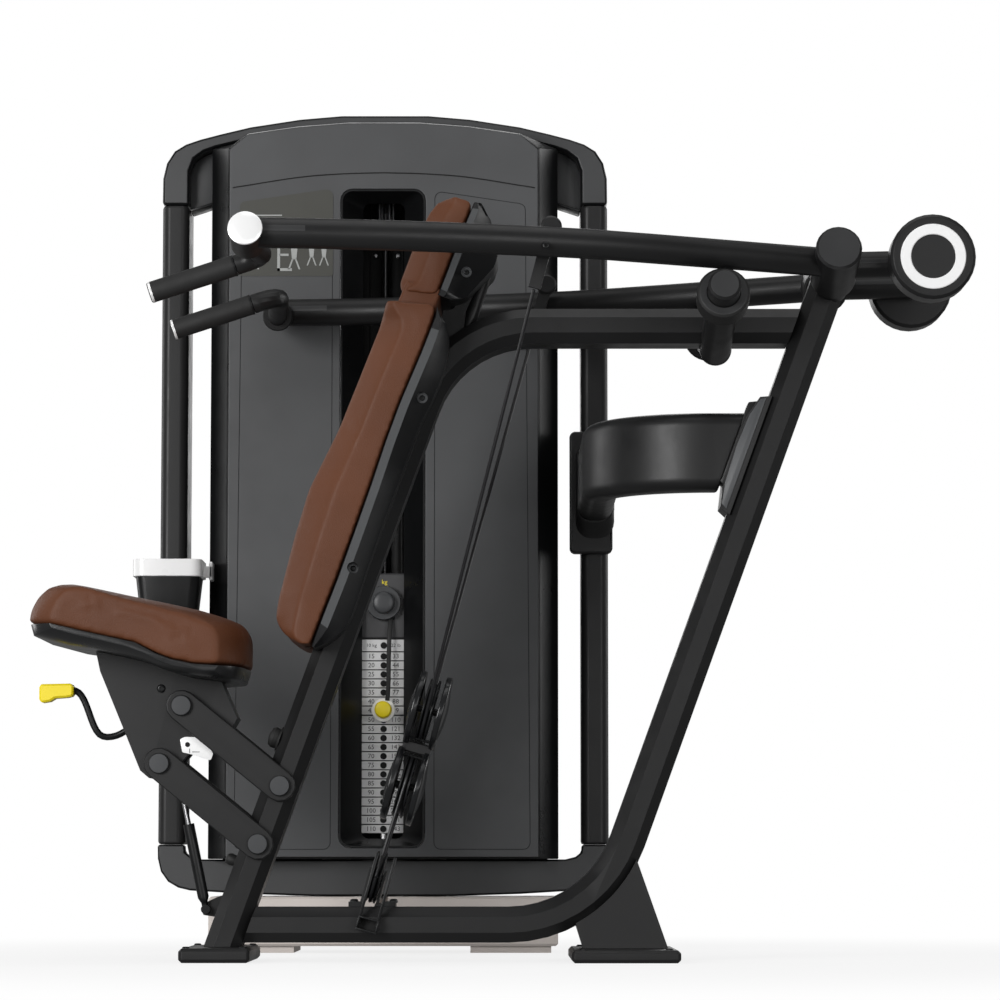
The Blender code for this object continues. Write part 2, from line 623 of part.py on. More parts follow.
def tower_base():
    """Base box on two skids, with the two posts the stack rests on, and the slot for the cable."""
    base = piece("base_box", block(-0.512, 0.102, 0.540, 0.800, 0.0120, 0.0980), "base_beige", bevel=0.004)
    reshape(base, block(-0.505, 0.095, 0.547, 0.793, 0.0, 0.0930))
    reshape(base, block(TOWER_X - 0.0100, TOWER_X + 0.0100, 0.50, 0.790, 0.060, 0.20))
    for x0, x1 in ((-0.504, -0.362), (-0.052, 0.090)):
        reshape(base, block(x0, x1, 0.552, 0.788, 0.0, 0.0940), "UNION")
    for side in (-1, 1):
        x = TOWER_X + side * ROD_SPREAD
        reshape(base, rod((x, TOWER_MID, 0.0950), (x, TOWER_MID, STACK_BOTTOM - GAP), 0.026, 24), "UNION")
        reshape(base, rod((x, TOWER_MID, 0.1500), (x, TOWER_MID, 0.3), 0.0106, 20))
    for cheek in floor_bracket():
        reshape(base, cheek, "UNION")


def guide_frame():
    """The two guide rods with the beam that ties their tops and carries the top wheel."""
    beam = piece("guide_frame", block(TOWER_X - 0.306, TOWER_X + 0.306, 0.640, 0.740, 1.3850, 1.4250),
                 "steel")
    for side in (-1, 1):
        x = TOWER_X + side * ROD_SPREAD
        reshape(beam, rod((x, TOWER_MID, 0.1505), (x, TOWER_MID, 1.3900), 0.010, 20), "UNION")
        near, far = TOWER_X + side * 0.0105, TOWER_X + side * 0.0145
        reshape(beam, block(min(near, far), max(near, far), 0.692, 0.723, 1.318, 1.3900), "UNION")
    reshape(beam, rod((TOWER_X - 0.012, 0.7075, 1.330), (TOWER_X + 0.012, 0.7075, 1.330), 0.006, 20), "UNION")


def stack_plates(name, count, bottom, extra, selected):
    top = bottom + count * PLATE_PITCH + extra
    plates = piece(name, block(-0.330, -0.084, 0.605, 0.715, bottom, top), "stack_steel")
    for label, side in SIDES:
        x = TOWER_X + side * ROD_SPREAD
        reshape(plates, rod((x, TOWER_MID, bottom - 0.01), (x, TOWER_MID, top + 0.01), 0.0112, 20))
    if selected:
        z = bottom + PLATE_PITCH / 2
        reshape(plates, rod((TOWER_X, 0.59, z), (TOWER_X, 0.690, z), 0.0052, 16))
    return plates


def weight_stack():
    stack_plates("resting_plates", RESTING_PLATES, STACK_BOTTOM, 0.0, False)
    bottom = STACK_BOTTOM + RESTING_PLATES * PLATE_PITCH + GAP
    stack_plates("lifted_plates", LIFTED_PLATES, bottom, HEAD_BOTTOM - GAP - bottom - LIFTED_PLATES * PLATE_PITCH,
                 True)
    piece("head_plate", block(-0.252, -0.162, 0.603, 0.717, HEAD_BOTTOM, 0.672), "dark_trim", bevel=0.003)
    pin_z = bottom + PLATE_PITCH / 2
    piece("selector_pin", lathe((TOWER_X, 0.554, pin_z), (0, 1, 0),
                                [(0, 0), (0, 0.013), (0.003, 0.015), (0.034, 0.015), (0.034, 0.0192),
                                 (0.0445, 0.0192), (0.0445, 0.0048), (0.128, 0.0048), (0.130, 0)], 24),
          "yellow", pivot=(TOWER_X, 0.60, pin_z))
    piece("increment_knob", lathe((TOWER_X, 0.570, 0.618), (0, 1, 0),
                                  [(0, 0), (0, 0.017), (0.003, 0.0195), (0.016, 0.0195), (0.016, 0.030),
                                   (0.0325, 0.030), (0.0325, 0)], 32), "pin_grey",
          pivot=(TOWER_X, 0.5865, 0.618))


def bottle_cup():
    centre = (-0.5835, 0.5350)
    cup = piece("bottle_cup", lathe((*centre, 0.566), (0, 0, 1),
                                    [(0, 0), (0, 0.050), (0.0885, 0.0560), (0.0885, 0.0615), (0.1195, 0.0615),
                                     (0.1195, 0.0535), (0.004, 0.0465), (0.004, 0)], 32), "dark_trim")
    reshape(cup, block(-0.600, -0.567, 0.594, TOWER_FRONT - GAP, 0.6555, 0.6845), "UNION")


# Swing arms ---------------------------------------------------------------------------
def swing_arm(label, side):
    pivot = along_pivot(side, (BARREL_START + BARREL_END) / 2)
    path = smooth_line([(x, side * y, ARM_Z) for x, y in ARM_LINE], 2)
    arm = piece(label + "_arm", sweep(path, circle(ARM_RADIUS, 16), side=(0, 0, 1)), "black_paint", pivot=pivot)
    barrel = rod(along_pivot(side, BARREL_START), along_pivot(side, BARREL_END), BARREL_RADIUS, 24, edge=0.004)
    reshape(arm, barrel, "UNION")
    rear = lathe((0.552, side * 0.120, 1.1160), (DISC_X + 0.012 - 0.552, 0, 0.0035),
                 [(0, 0), (0, 0.022), (0.142, 0.022), (0.150, 0.016), (0.150, 0)], 16)
    reshape(arm, rear, "UNION")
    tip = Vector((0, side * math.cos(math.radians(10)), math.sin(math.radians(10))))
    cross = Vector((-0.388, side * 0.443, 1.1135))
    reshape(arm, rod(cross - tip * 0.036, cross + tip * 0.0365, 0.0264, 20, edge=0.002), "UNION")
    reshape(arm, rod(along_pivot(side, BARREL_START - 0.01), along_pivot(side, BARREL_END - 0.010),
                     SHAFT_RADIUS + GAP, 20))
    handle(label, side, pivot, cross - tip * 0.0365, tip)
    counterweight(label, side, pivot)
    cable_link(label, side, pivot)


def handle(label, side, pivot, start, tip):
    elbow = Vector((-0.374, side * 0.220, 1.1165))
    end = Vector((-0.556, side * 0.220, 1.0570))
    forward = (end - elbow).normalized()
    length = (end - elbow).length - 0.0505
    path = rounded_path([start, elbow, elbow + forward * 0.048], [0.034], 6)
    bar = piece(label + "_handle", sweep(path, circle(0.0165, 14), side=(0, 0, 1),
                                         start_plane=(start, tip)), "black_paint", pivot=pivot)
    reshape(bar, rod(elbow + forward * 0.040, end - forward * 0.0085, 0.0115, 14), "UNION")
    profile = [(0, 0.0120), (0, 0.0160), (0.0015, 0.0172), (length, 0.0172), (length + 0.002, 0.0150),
               (length + 0.002, 0), (length - 0.0055, 0), (length - 0.0055, 0.0120)]
    piece(label + "_grip", sleeve(elbow + forward * 0.0485, forward, profile, 18), "rubber", pivot=pivot)


def counterweight(label, side, pivot):
    inner, outer = side * 0.1430, side * 0.1975
    centre = Vector((DISC_X, 0, DISC_Z))
    disc = piece(label + "_counterweight", rod(centre + Vector((0, inner, 0)), centre + Vector((0, outer, 0)),
                                               DISC_RADIUS, 32, edge=0.005), "black_paint", pivot=pivot)
    reshape(disc, ring(centre + Vector((0, side * 0.1945, 0)), centre + Vector((0, side * 0.21, 0)),
                       0.0350, 0.0524, 32, 0.0))


def cable_link(label, side, pivot):
    """Hanger on the inner side of the arm that the upper cable run hooks onto."""
    y = side * 0.312
    top = Vector((0.080, y, 1.1480))
    hanger = piece(label + "_cable_link", rod((0.080, side * 0.300, 1.148), (0.080, side * 0.3195, 1.148),
                                              0.017, 24, edge=0.003), "black_paint", pivot=top)
    low = top - Vector((math.sin(CABLE_LEAN), 0, math.cos(CABLE_LEAN))) * 0.100
    across = Vector((math.cos(CABLE_LEAN), 0, -math.sin(CABLE_LEAN)))
    corners = [top + across * 0.010, top - across * 0.010, low - across * 0.0095, low + across * 0.0095]
    inner, outer = sorted((side * 0.306, side * 0.3155))
    reshape(hanger, prism([(p.x, p.z) for p in corners], inner, outer), "UNION")


# Cable drive --------------------------------------------------------------------------
def drive_frame():
    along = Vector((math.sin(CABLE_LEAN), 0, math.cos(CABLE_LEAN)))
    axis = Vector((math.cos(CABLE_LEAN), 0, -math.sin(CABLE_LEAN)))
    upper = Vector((BLOCK_UPPER[0], 0, BLOCK_UPPER[1]))
    lower = Vector((BLOCK_LOWER[0], 0, BLOCK_LOWER[1]))
    return along, axis, upper, lower, (upper + lower) / 2


def wheel(name, centre, axis, pivot, radius=WHEEL_RADIUS, bore=0.0065):
    """Grooved wheel with a round bore."""
    half = 0.0085
    profile = [(0, bore), (0, radius), (0.003, radius), (0.0045, radius - 0.0065),
               (2 * half - 0.0045, radius - 0.0065), (2 * half - 0.003, radius), (2 * half, radius),
               (2 * half, bore)]
    piece(name, lathe(centre - axis * half, axis, profile, 24, closed=True), "pin_grey", pivot=pivot)


def cheek_outline(reach, radius, waist, steps=20):
    """Two discs joined by a short waist, as (along, across) points."""
    open_angle = math.asin(waist / radius)
    points = []
    for centre, turn in ((reach, -math.pi), (-reach, 0.0)):
        for step in range(steps + 1):
            angle = turn + open_angle + (2 * math.pi - 2 * open_angle) * step / steps
            points.append((centre + radius * math.cos(angle), radius * math.sin(angle)))
    return points


def pulley_block():
    """Two cheeks, the body between them and the two axles."""
    along, axis, upper, lower, middle = drive_frame()
    reach = (upper - lower).length / 2
    outline = cheek_outline(reach, 0.0605, 0.011)
    cheeks = []
    for near, far in ((0.0180, 0.0235), (-0.0235, -0.0180)):
        mesh = bmesh.new()
        rings = [[mesh.verts.new(middle + along * a + Vector((0, b, 0)) + axis * level) for a, b in outline]
                 for level in (near, far)]
        bridge(mesh, rings, closed=False)
        cheeks.append(mesh)
    frame = piece("pulley_block", cheeks[0], "dark_trim", pivot=middle)
    reshape(frame, cheeks[1], "UNION")
    body = sweep([middle - axis * 0.0200, middle + axis * 0.0200], chamfered(0.020, 0.018, 0.002),
                 side=(0, 1, 0))
    reshape(frame, body, "UNION")
    for centre in (upper, lower):
        reshape(frame, rod(centre - axis * 0.0205, centre + axis * 0.0205, 0.0060, 20), "UNION")
        wheel("upper_wheel" if centre is upper else "lower_wheel", centre, axis, centre, WHEEL_RADIUS - 0.005)


BASE_WHEEL = Vector((-0.2000, 0.0, 0.1345))
FLOOR_WHEEL = Vector((TOWER_X, 0.7075, 0.1345))
TOP_WHEEL = Vector((TOWER_X, 0.7075, 1.330))


def fixed_wheels():
    """Base wheel on its leaning bracket, and the two wheels inside the tower."""
    axis = drive_frame()[1]
    across = Vector((1, 0, 0))
    wheel("base_wheel", BASE_WHEEL, axis, BASE_WHEEL, 0.042)
    wheel("floor_wheel", FLOOR_WHEEL, across, FLOOR_WHEEL, 0.042)
    wheel("top_wheel", TOP_WHEEL, across, TOP_WHEEL, 0.0505)
    x, z = BASE_WHEEL.x, BASE_WHEEL.z
    bottom = LOW_TUBE_Z + TUBE_DEPTH / 2 + GAP
    bracket = piece("base_bracket", block(x - 0.044, x + 0.024, -0.030, 0.0335, bottom, bottom + 0.005),
                    "black_paint")
    cheek = [(-0.022, z - 0.047), (0.0330, z - 0.047), (0.0560, z - 0.016), (0.0540, z - 0.003),
             (0.030, z + 0.008), (0.012, z + 0.014), (-0.012, z + 0.014)]
    parts = [prism(cheek, min(x + near, x + far), max(x + near, x + far), axis="X")
             for near, far in ((0.0105, 0.0145), (-0.0105, -0.0145))]
    parts.append(rod((x - 0.0125, 0, z), (x + 0.0125, 0, z), 0.0060, 16))
    parts.append(rod((x - 0.0125, 0.0490, z - 0.0115), (x + 0.0125, 0.0490, z - 0.0115), 0.0045, 12))
    for part in parts:
        reshape(bracket, leaning(part, BASE_WHEEL), "UNION")
    relief = block(x - 0.0100, x + 0.0100, -0.05, 0.048, z - 0.060, z - 0.035)
    reshape(bracket, leaning(relief, BASE_WHEEL))
    reshape(bracket, block(x - 0.1, x + 0.1, -0.1, 0.1, bottom - 0.05, bottom))


def leaning(mesh, centre):
    """Turns a shape about a cross axis so that it lines up with the cable run."""
    bmesh.ops.rotate(mesh, verts=mesh.verts, cent=centre, matrix=Matrix.Rotation(CABLE_LEAN, 3, "Y"))
    return mesh


def floor_bracket():
    """Cheeks on the tower base that carry the floor wheel."""
    x, y, z = FLOOR_WHEEL
    cheeks = []
    for side in (-1, 1):
        near, far = x + side * 0.0105, x + side * 0.0145
        cheeks.append(block(min(near, far), max(near, far), y - 0.014, y + 0.014, 0.0935, z + 0.012))
    cheeks.append(rod((x - 0.0125, y, z), (x + 0.0125, y, z), 0.0060, 20))
    return cheeks


def cord(name, path, pivot=(0, 0, 0), radius=CABLE_RADIUS):
    piece(name, sweep(path, circle(radius, 8), side=(0.9, 0.1, 0.42)), "cable_black", pivot=pivot)


def arc(centre, first, second, radius, start, end, steps=6):
    """Arc points in the plane of two directions; angles in degrees from the first one."""
    points = []
    for step in range(steps + 1):
        angle = math.radians(start + (end - start) * step / steps)
        points.append(centre + first * radius * math.cos(angle) + second * radius * math.sin(angle))
    return points


def groove(radius):
    """Radius of the cable centre line when it lies in the groove of a wheel."""
    return radius - 0.0065 + CABLE_RADIUS + 0.0009


def cables():
    along, axis, upper, lower, middle = drive_frame()
    across, rise = Vector((0, 1, 0)), Vector((0, 0, 1))
    reach = groove(WHEEL_RADIUS - 0.005)
    for label, side in SIDES:
        hook = Vector((0.080, side * 0.312, 1.1480))
        points = [hook - along * 0.1022]
        points += arc(upper, across * side, -along, reach, 21.5, 84, 8)
        cord(label + "_upper_cable", points, pivot=hook)
    low_reach = groove(0.042)
    anchor = BASE_WHEEL + across * 0.0490 - along * 0.0060
    loop = arc(lower, across, along, reach, 0, 180, 12)
    down = BASE_WHEEL - across * low_reach
    cord("lower_cable", [anchor] + loop + [down + along * 0.0015])
    route = arc(BASE_WHEEL, -across, -along, low_reach, 0, 90, 6)
    route += arc(FLOOR_WHEEL, -rise, across, low_reach, 0, 90, 6)
    top_reach = groove(0.0505)
    route += arc(TOP_WHEEL, across, rise, top_reach, 0, 180, 12)
    cord("return_cable", route)
    hang = TOP_WHEEL - across * top_reach
    cord("stack_cable", [hang - rise * 0.0015, Vector((hang.x, hang.y, 0.6725))])


# Seat ---------------------------------------------------------------------------------
SEAT_TOP = [(-0.7545, 0.542), (-0.7500, 0.5590), (-0.7370, 0.5780), (-0.7210, 0.5930), (-0.7020, 0.5995),
            (-0.6815, 0.6000), (-0.6564, 0.5957), (-0.5874, 0.5812), (-0.5244, 0.5686), (-0.4743, 0.5579),
            (-0.4369, 0.5466), (-0.4114, 0.5389), (-0.4000, 0.5290), (-0.3950, 0.5190), (-0.3950, 0.4720)]
SEAT_SEAM = [(-0.4209, 0.4692), (-0.4582, 0.4717), (-0.5015, 0.4790), (-0.5330, 0.4883),
             (-0.5741, 0.5054), (-0.6140, 0.5122), (-0.6764, 0.5230), (-0.7440, 0.5356)]
SEAT_UNDER = [(-0.7430, 0.5180), (-0.6840, 0.5030), (-0.6430, 0.4972), (-0.5900, 0.4859), (-0.5560, 0.4764),
              (-0.5246, 0.4639), (-0.4966, 0.4558), (-0.4344, 0.4480), (-0.4070, 0.4495)]


def seat():
    pivot = (*SEAT_LOWER[:1], 0.0, SEAT_LOWER[1])
    pad = piece("seat_pad", prism(SEAT_TOP + SEAT_SEAM, -0.190, 0.190), "brown_leather", pivot=pivot,
                bevel=0.012, bevel_angle=60)
    plan = rounded_outline([(-0.751, -0.190), (-0.407, -0.190), (-0.3945, 0.0), (-0.407, 0.190),
                            (-0.751, 0.190)], [0.066, 0.050, 0.400, 0.050, 0.066], 6)
    reshape(pad, prism(plan, 0.3, 0.7, axis="Z"), "INTERSECT")
    below = [(x, z - 0.0006) for x, z in SEAT_SEAM]
    shell = piece("seat_shell", prism([(-0.3985, 0.4702)] + below + SEAT_UNDER + [(-0.3985, 0.4560)],
                                      -0.180, 0.180), "shell_black", pivot=pivot)
    plan = rounded_outline([(-0.748, -0.180), (-0.411, -0.180), (-0.3985, 0.0), (-0.411, 0.180),
                            (-0.748, 0.180)], [0.060, 0.045, 0.400, 0.045, 0.060], 6)
    reshape(shell, prism(plan, 0.3, 0.7, axis="Z"), "INTERSECT")
    carriage(pivot)
    seat_links()


def carriage(pivot):
    outline = [(-0.653, 0.4978), (-0.646, 0.466), (-0.607, 0.372), (-0.580, 0.306), (-0.566, 0.294),
               (-0.548, 0.291), (-0.531, 0.298), (-0.480, 0.360), (-0.432, 0.376), (-0.424, 0.390),
               (-0.450, 0.4492)] + [(x, z - 0.0008) for x, z in reversed(SEAT_UNDER[2:7])]
    body = piece("seat_carriage", prism(outline, -0.045, 0.045), "black_paint", pivot=pivot)
    slot = [(-0.561, 0.378), (-0.515, 0.392), (-0.40, 0.30), (-0.45, 0.20), (-0.532, 0.26), (-0.536, 0.340)]
    reshape(body, prism(slot, -0.016, 0.016))
    slot = [(-0.600, 0.27), (-0.531, 0.27), (-0.531, 0.345), (-0.600, 0.345)]
    reshape(body, prism(slot, -0.016, 0.016))
    slot = [(-0.660, 0.350), (-0.660, 0.412), (-0.600, 0.412), (-0.578, 0.402), (-0.574, 0.381),
            (-0.580, 0.366), (-0.600, 0.352)]
    reshape(body, prism(slot, -0.0085, 0.0085))
    reshape(body, rod((LEVER_PIN[0], -0.012, LEVER_PIN[2]), (LEVER_PIN[0], 0.012, LEVER_PIN[2]), 0.0040, 16),
            "UNION")
    for spot in (SEAT_UPPER, SEAT_LOWER):
        reshape(body, link_pin(spot), "UNION")


def link_pin(spot):
    """Cross pin with a broad cap outside each link."""
    profile = [(0, 0), (0, 0.0155), (0.0015, 0.017), (0.0060, 0.017), (0.0060, 0.0118), (0.1330, 0.0118),
               (0.1330, 0.017), (0.1375, 0.017), (0.139, 0.0155), (0.139, 0)]
    return lathe((spot[0], -0.0695, spot[1]), (0, 1, 0), profile, 16)


def link(name, seat_end, post_end):
    """Two side bars joined by a cross web, with a bore at each end."""
    seat_end, post_end = Vector((seat_end[0], 0, seat_end[1])), Vector((post_end[0], 0, post_end[1]))
    along = (post_end - seat_end).normalized()
    across = Vector((-along.z, 0, along.x))
    outline = []
    for centre, start in ((post_end, -90), (seat_end, 90)):
        for step in range(7):
            angle = math.radians(start + 180 * step / 6)
            spot = centre + along * math.cos(angle) * 0.0255 + across * math.sin(angle) * 0.0255
            outline.append((spot.x, spot.z))
    pivot = (post_end.x, 0.0, post_end.z)
    body = piece(name, prism(outline, -0.0625, -0.0510), "black_paint", pivot=pivot, bevel=0.0015,
                 bevel_angle=60)
    reshape(body, prism(outline, 0.0510, 0.0625), "UNION")
    middle = seat_end.lerp(post_end, 0.56)
    web = [middle + along * a * 0.022 + across * b * 0.008 for a, b in ((-1, -1), (1, -1), (1, 1), (-1, 1))]
    reshape(body, prism([(p.x, p.z) for p in web], -0.0560, 0.0560), "UNION")
    for end in (seat_end, post_end):
        reshape(body, rod((end.x, -0.09, end.z), (end.x, 0.09, end.z), 0.0125, 16))


def seat_links():
    link("upper_link", SEAT_UPPER, POST_UPPER)
    link("lower_link", SEAT_LOWER, POST_LOWER)
    gas_spring()
    lever()


def gas_spring():
    foot = Vector((SPRING_FOOT[0], 0, SPRING_FOOT[1]))
    head = Vector((SPRING_HEAD[0], 0, SPRING_HEAD[1]))
    along = (head - foot).normalized()
    tube = piece("gas_spring_tube", lathe(foot, along,
                                          [(0.003, 0), (0.003, 0.0052), (0.011, 0.0052), (0.020, 0.009),
                                           (0.140, 0.009), (0.140, 0.0072), (0.022, 0.0072), (0.022, 0)], 16),
                 "dark_trim", pivot=(foot.x, 0, foot.z))
    reshape(tube, rod((foot.x, -0.007, foot.z), (foot.x, 0.007, foot.z), 0.0076, 16), "UNION")
    bar = piece("gas_spring_rod", rod(head, foot + along * 0.120, 0.0040, 16), "steel",
                pivot=(head.x, 0, head.z))
    reshape(bar, rod((head.x, -0.007, head.z), (head.x, 0.007, head.z), 0.0080, 20), "UNION")


def lever():
    """Seat release on a cross pin inside the carriage, with a moulded handle."""
    line = [(-0.590, 0.3835), (-0.6092, 0.3705), (-0.6230, 0.3635), (-0.6385, 0.3612), (-0.6505, 0.3655),
            (-0.6600, 0.3800), (-0.6680, 0.4010), (-0.6760, 0.4210), (-0.6850, 0.4335), (-0.6960, 0.4375),
            (-0.7120, 0.4375)]
    path = smooth_line([(x, 0.0, z) for x, z in line], 2)
    bar = piece("release_lever", sweep(path, circle(0.0055, 12)), "dark_trim", pivot=LEVER_PIN)
    x, z = LEVER_PIN[0], LEVER_PIN[2]
    reshape(bar, rod((x, -0.0075, z), (x, 0.0075, z), 0.0105, 20), "UNION")
    reshape(bar, rod((x, -0.0200, z), (x, 0.0200, z), 0.0046, 16))
    grip = [(-0.7474, 0.4190), (-0.7474, 0.4445), (-0.7430, 0.4465), (-0.6975, 0.4475), (-0.6920, 0.4450),
            (-0.6920, 0.4275), (-0.7025, 0.4250), (-0.7220, 0.4235), (-0.7300, 0.4185), (-0.7420, 0.4165)]
    knob = piece("lever_handle", prism(grip, -0.018, 0.018), "yellow", pivot=LEVER_PIN, bevel=0.003,
                 bevel_angle=40)
    reshape(knob, rod((-0.680, 0.0, 0.4375), (-0.7130, 0.0, 0.4375), 0.0061, 16))
    reshape(knob, rod((-0.6870, 0.0, 0.4345), (-0.6960, 0.0, 0.4372), 0.0066, 16))


for old in list(bpy.data.objects):
    bpy.data.objects.remove(old, do_unlink=True)
MATERIALS = {name: make_finish(name, *values) for name, values in FINISHES.items()}
front_tube()
rear_tube()
frame_feet()
arm_stops()
link_stops()
backrest()
headrest()
tie_arm()
tower_loop()
covers()
window_bezel()
tower_base()
guide_frame()
weight_stack()
bottle_cup()
for label, side in SIDES:
    swing_arm(label, side)
pulley_block()
fixed_wheels()
cables()
seat()
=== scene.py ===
"""Looks of the shoulder press machine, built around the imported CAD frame.

Metres, +Z up. Shapes are written in the machine's design frame, whose user centre plane is Y = 0,
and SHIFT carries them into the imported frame.
"""
import json
import math

import bmesh
import bpy
from mathutils import Matrix, Vector


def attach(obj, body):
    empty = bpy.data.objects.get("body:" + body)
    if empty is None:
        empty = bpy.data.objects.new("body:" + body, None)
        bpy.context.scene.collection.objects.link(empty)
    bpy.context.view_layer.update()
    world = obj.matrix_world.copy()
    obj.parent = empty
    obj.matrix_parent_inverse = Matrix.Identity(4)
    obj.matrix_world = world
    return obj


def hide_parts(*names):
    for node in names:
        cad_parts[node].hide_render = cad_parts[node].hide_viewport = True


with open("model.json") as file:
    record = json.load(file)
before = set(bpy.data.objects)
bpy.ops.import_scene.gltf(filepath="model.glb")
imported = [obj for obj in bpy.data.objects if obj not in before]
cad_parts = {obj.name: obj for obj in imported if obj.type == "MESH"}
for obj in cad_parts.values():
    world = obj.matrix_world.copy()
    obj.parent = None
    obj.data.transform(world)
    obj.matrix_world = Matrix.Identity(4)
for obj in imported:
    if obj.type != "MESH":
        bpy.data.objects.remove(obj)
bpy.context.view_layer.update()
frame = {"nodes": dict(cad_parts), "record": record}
NODES = frame["nodes"]
SHIFT = Vector((-0.0038, -0.1584, 0.0))
LEAN = math.radians(20.0)
CABLE_LEAN = math.radians(15.3)
PIVOT_TILT = math.radians(13.2)
POST_UP = Vector((math.sin(LEAN), 0, math.cos(LEAN)))
POST_OUT = Vector((-math.cos(LEAN), 0, math.sin(LEAN)))
CABLE_UP = Vector((math.sin(CABLE_LEAN), 0, math.cos(CABLE_LEAN)))
CABLE_ACROSS = Vector((math.cos(CABLE_LEAN), 0, -math.sin(CABLE_LEAN)))
TOWER_X = -0.207
SIDES = (("left", -1), ("right", 1))
COVER_Y = 0.5300


# Camera, light and floor ----------
CAMERA_PLACE = (SHIFT.x, -6.5584, 0.162)
CAMERA_TILT = math.radians(5.23)
LENS_MM = 141.66
LIGHTS = (
    # name, place, target, width, height, power
    ("key", (-3.0, -4.2, 1.35), (0, 0, 0.75), 2.2, 2.2, 165),
    ("near_left", (-1.9, -2.6, 1.0), (-0.3, 0.2, 0.8), 0.9, 1.0, 8),
    ("low_front", (0.4, -5.2, 0.6), (0, 0, 0.5), 2.6, 0.8, 14),
    ("fill", (2.6, -4.4, 1.1), (0, 0, 0.6), 2.0, 2.0, 48),
    ("top", (0.2, -0.6, 3.6), (0, 0, 0.6), 2.6, 2.6, 24),
    ("rim_left", (-3.2, 1.6, 1.4), (0, 0, 0.8), 1.2, 2.4, 30),
    ("rim_right", (3.2, 1.8, 1.6), (0, 0, 0.8), 1.2, 2.4, 34),
    ("back", (0.0, 4.4, 2.4), (0, 0.4, 0.8), 3.0, 3.0, 46),
)
WORLD_STRENGTH = 0.20
FLOOR_RADIUS = 14.0


def make_camera():
    data = bpy.data.cameras.new("camera")
    data.sensor_width = 36.0
    data.lens = LENS_MM
    data.clip_start, data.clip_end = 0.1, 60.0
    camera = bpy.data.objects.new("camera", data)
    camera.location = CAMERA_PLACE
    camera.rotation_euler = (math.pi / 2 + CAMERA_TILT, 0.0, 0.0)
    bpy.context.scene.collection.objects.link(camera)
    bpy.context.scene.camera = camera


def area_light(name, place, target, wide, tall, power):
    data = bpy.data.lights.new(name, "AREA")
    data.shape = "RECTANGLE"
    data.size, data.size_y = wide, tall
    data.energy = power
    lamp = bpy.data.objects.new(name, data)
    lamp.location = place
    lamp.rotation_euler = (Vector(target) - Vector(place)).to_track_quat("-Z", "Y").to_euler()
    lamp.visible_camera = False
    bpy.context.scene.collection.objects.link(lamp)


def make_studio():
    """Lamps, and a dim world that the camera sees as plain white."""
    scene = bpy.context.scene
    scene.view_settings.view_transform = "Standard"
    scene.view_settings.look = "None"
    world = bpy.data.worlds.new("studio")
    scene.world = world
    world.use_nodes = True
    tree = world.node_tree
    shade, out = tree.nodes["Background"], tree.nodes["World Output"]
    shade.inputs["Color"].default_value = (1, 1, 1, 1)
    shade.inputs["Strength"].default_value = WORLD_STRENGTH
    seen = tree.nodes.new("ShaderNodeBackground")
    seen.inputs["Strength"].default_value = 1.0
    path, mix = tree.nodes.new("ShaderNodeLightPath"), tree.nodes.new("ShaderNodeMixShader")
    tree.links.new(path.outputs["Is Camera Ray"], mix.inputs[0])
    tree.links.new(shade.outputs[0], mix.inputs[1])
    tree.links.new(seen.outputs[0], mix.inputs[2])
    seen.inputs["Color"].default_value = (1, 1, 1, 1)
    tree.links.new(mix.outputs[0], out.inputs["Surface"])
    for lamp in LIGHTS:
        area_light(*lamp)


def make_floor():
    """Paper that catches a soft shadow near the machine and glows white farther out."""
    mesh = bmesh.new()
    bmesh.ops.create_circle(mesh, cap_ends=True, segments=96, radius=FLOOR_RADIUS)
    data = bpy.data.meshes.new("studio_floor")
    mesh.to_mesh(data)
    mesh.free()
    floor = bpy.data.objects.new("studio_floor", data)
    floor.location = (0, 0, -0.0005)
    bpy.context.scene.collection.objects.link(floor)
    finish = bpy.data.materials.new("floor_paper")
    finish.use_nodes = True
    tree = finish.node_tree
    tree.nodes.clear()
    link = tree.links.new
    out, mix = tree.nodes.new("ShaderNodeOutputMaterial"), tree.nodes.new("ShaderNodeMixShader")
    lit, glow = tree.nodes.new("ShaderNodeBsdfDiffuse"), tree.nodes.new("ShaderNodeEmission")
    lit.inputs["Color"].default_value = (0.9, 0.9, 0.9, 1)
    glow.inputs["Strength"].default_value = 1.0
    spot, length = tree.nodes.new("ShaderNodeTexCoord"), tree.nodes.new("ShaderNodeVectorMath")
    length.operation = "LENGTH"
    ramp = tree.nodes.new("ShaderNodeMapRange")
    ramp.interpolation_type = "SMOOTHSTEP"
    ramp.inputs["From Min"].default_value, ramp.inputs["From Max"].default_value = 0.9, 2.2
    ramp.inputs["To Min"].default_value, ramp.inputs["To Max"].default_value = 0.80, 1.0
    link(spot.outputs["Object"], length.inputs[0])
    link(length.outputs["Value"], ramp.inputs["Value"])
    link(ramp.outputs[0], mix.inputs[0])
    link(lit.outputs[0], mix.inputs[1])
    link(glow.outputs[0], mix.inputs[2])
    link(mix.outputs[0], out.inputs["Surface"])
    data.materials.append(finish)
    floor.visible_glossy = False
    floor.visible_diffuse = False


# Materials ----------
def noise(tree, coords, scale, detail):
    node = tree.nodes.new("ShaderNodeTexNoise")
    node.inputs["Scale"].default_value = scale
    node.inputs["Detail"].default_value = detail
    node.inputs["Roughness"].default_value = 0.55
    tree.links.new(coords, node.inputs["Vector"])
    return node.outputs["Fac"]


def ranged(tree, value, low, high, start=0.3, end=0.7):
    node = tree.nodes.new("ShaderNodeMapRange")
    node.inputs["From Min"].default_value, node.inputs["From Max"].default_value = start, end
    node.inputs["To Min"].default_value, node.inputs["To Max"].default_value = low, high
    tree.links.new(value, node.inputs["Value"])
    return node.outputs[0]


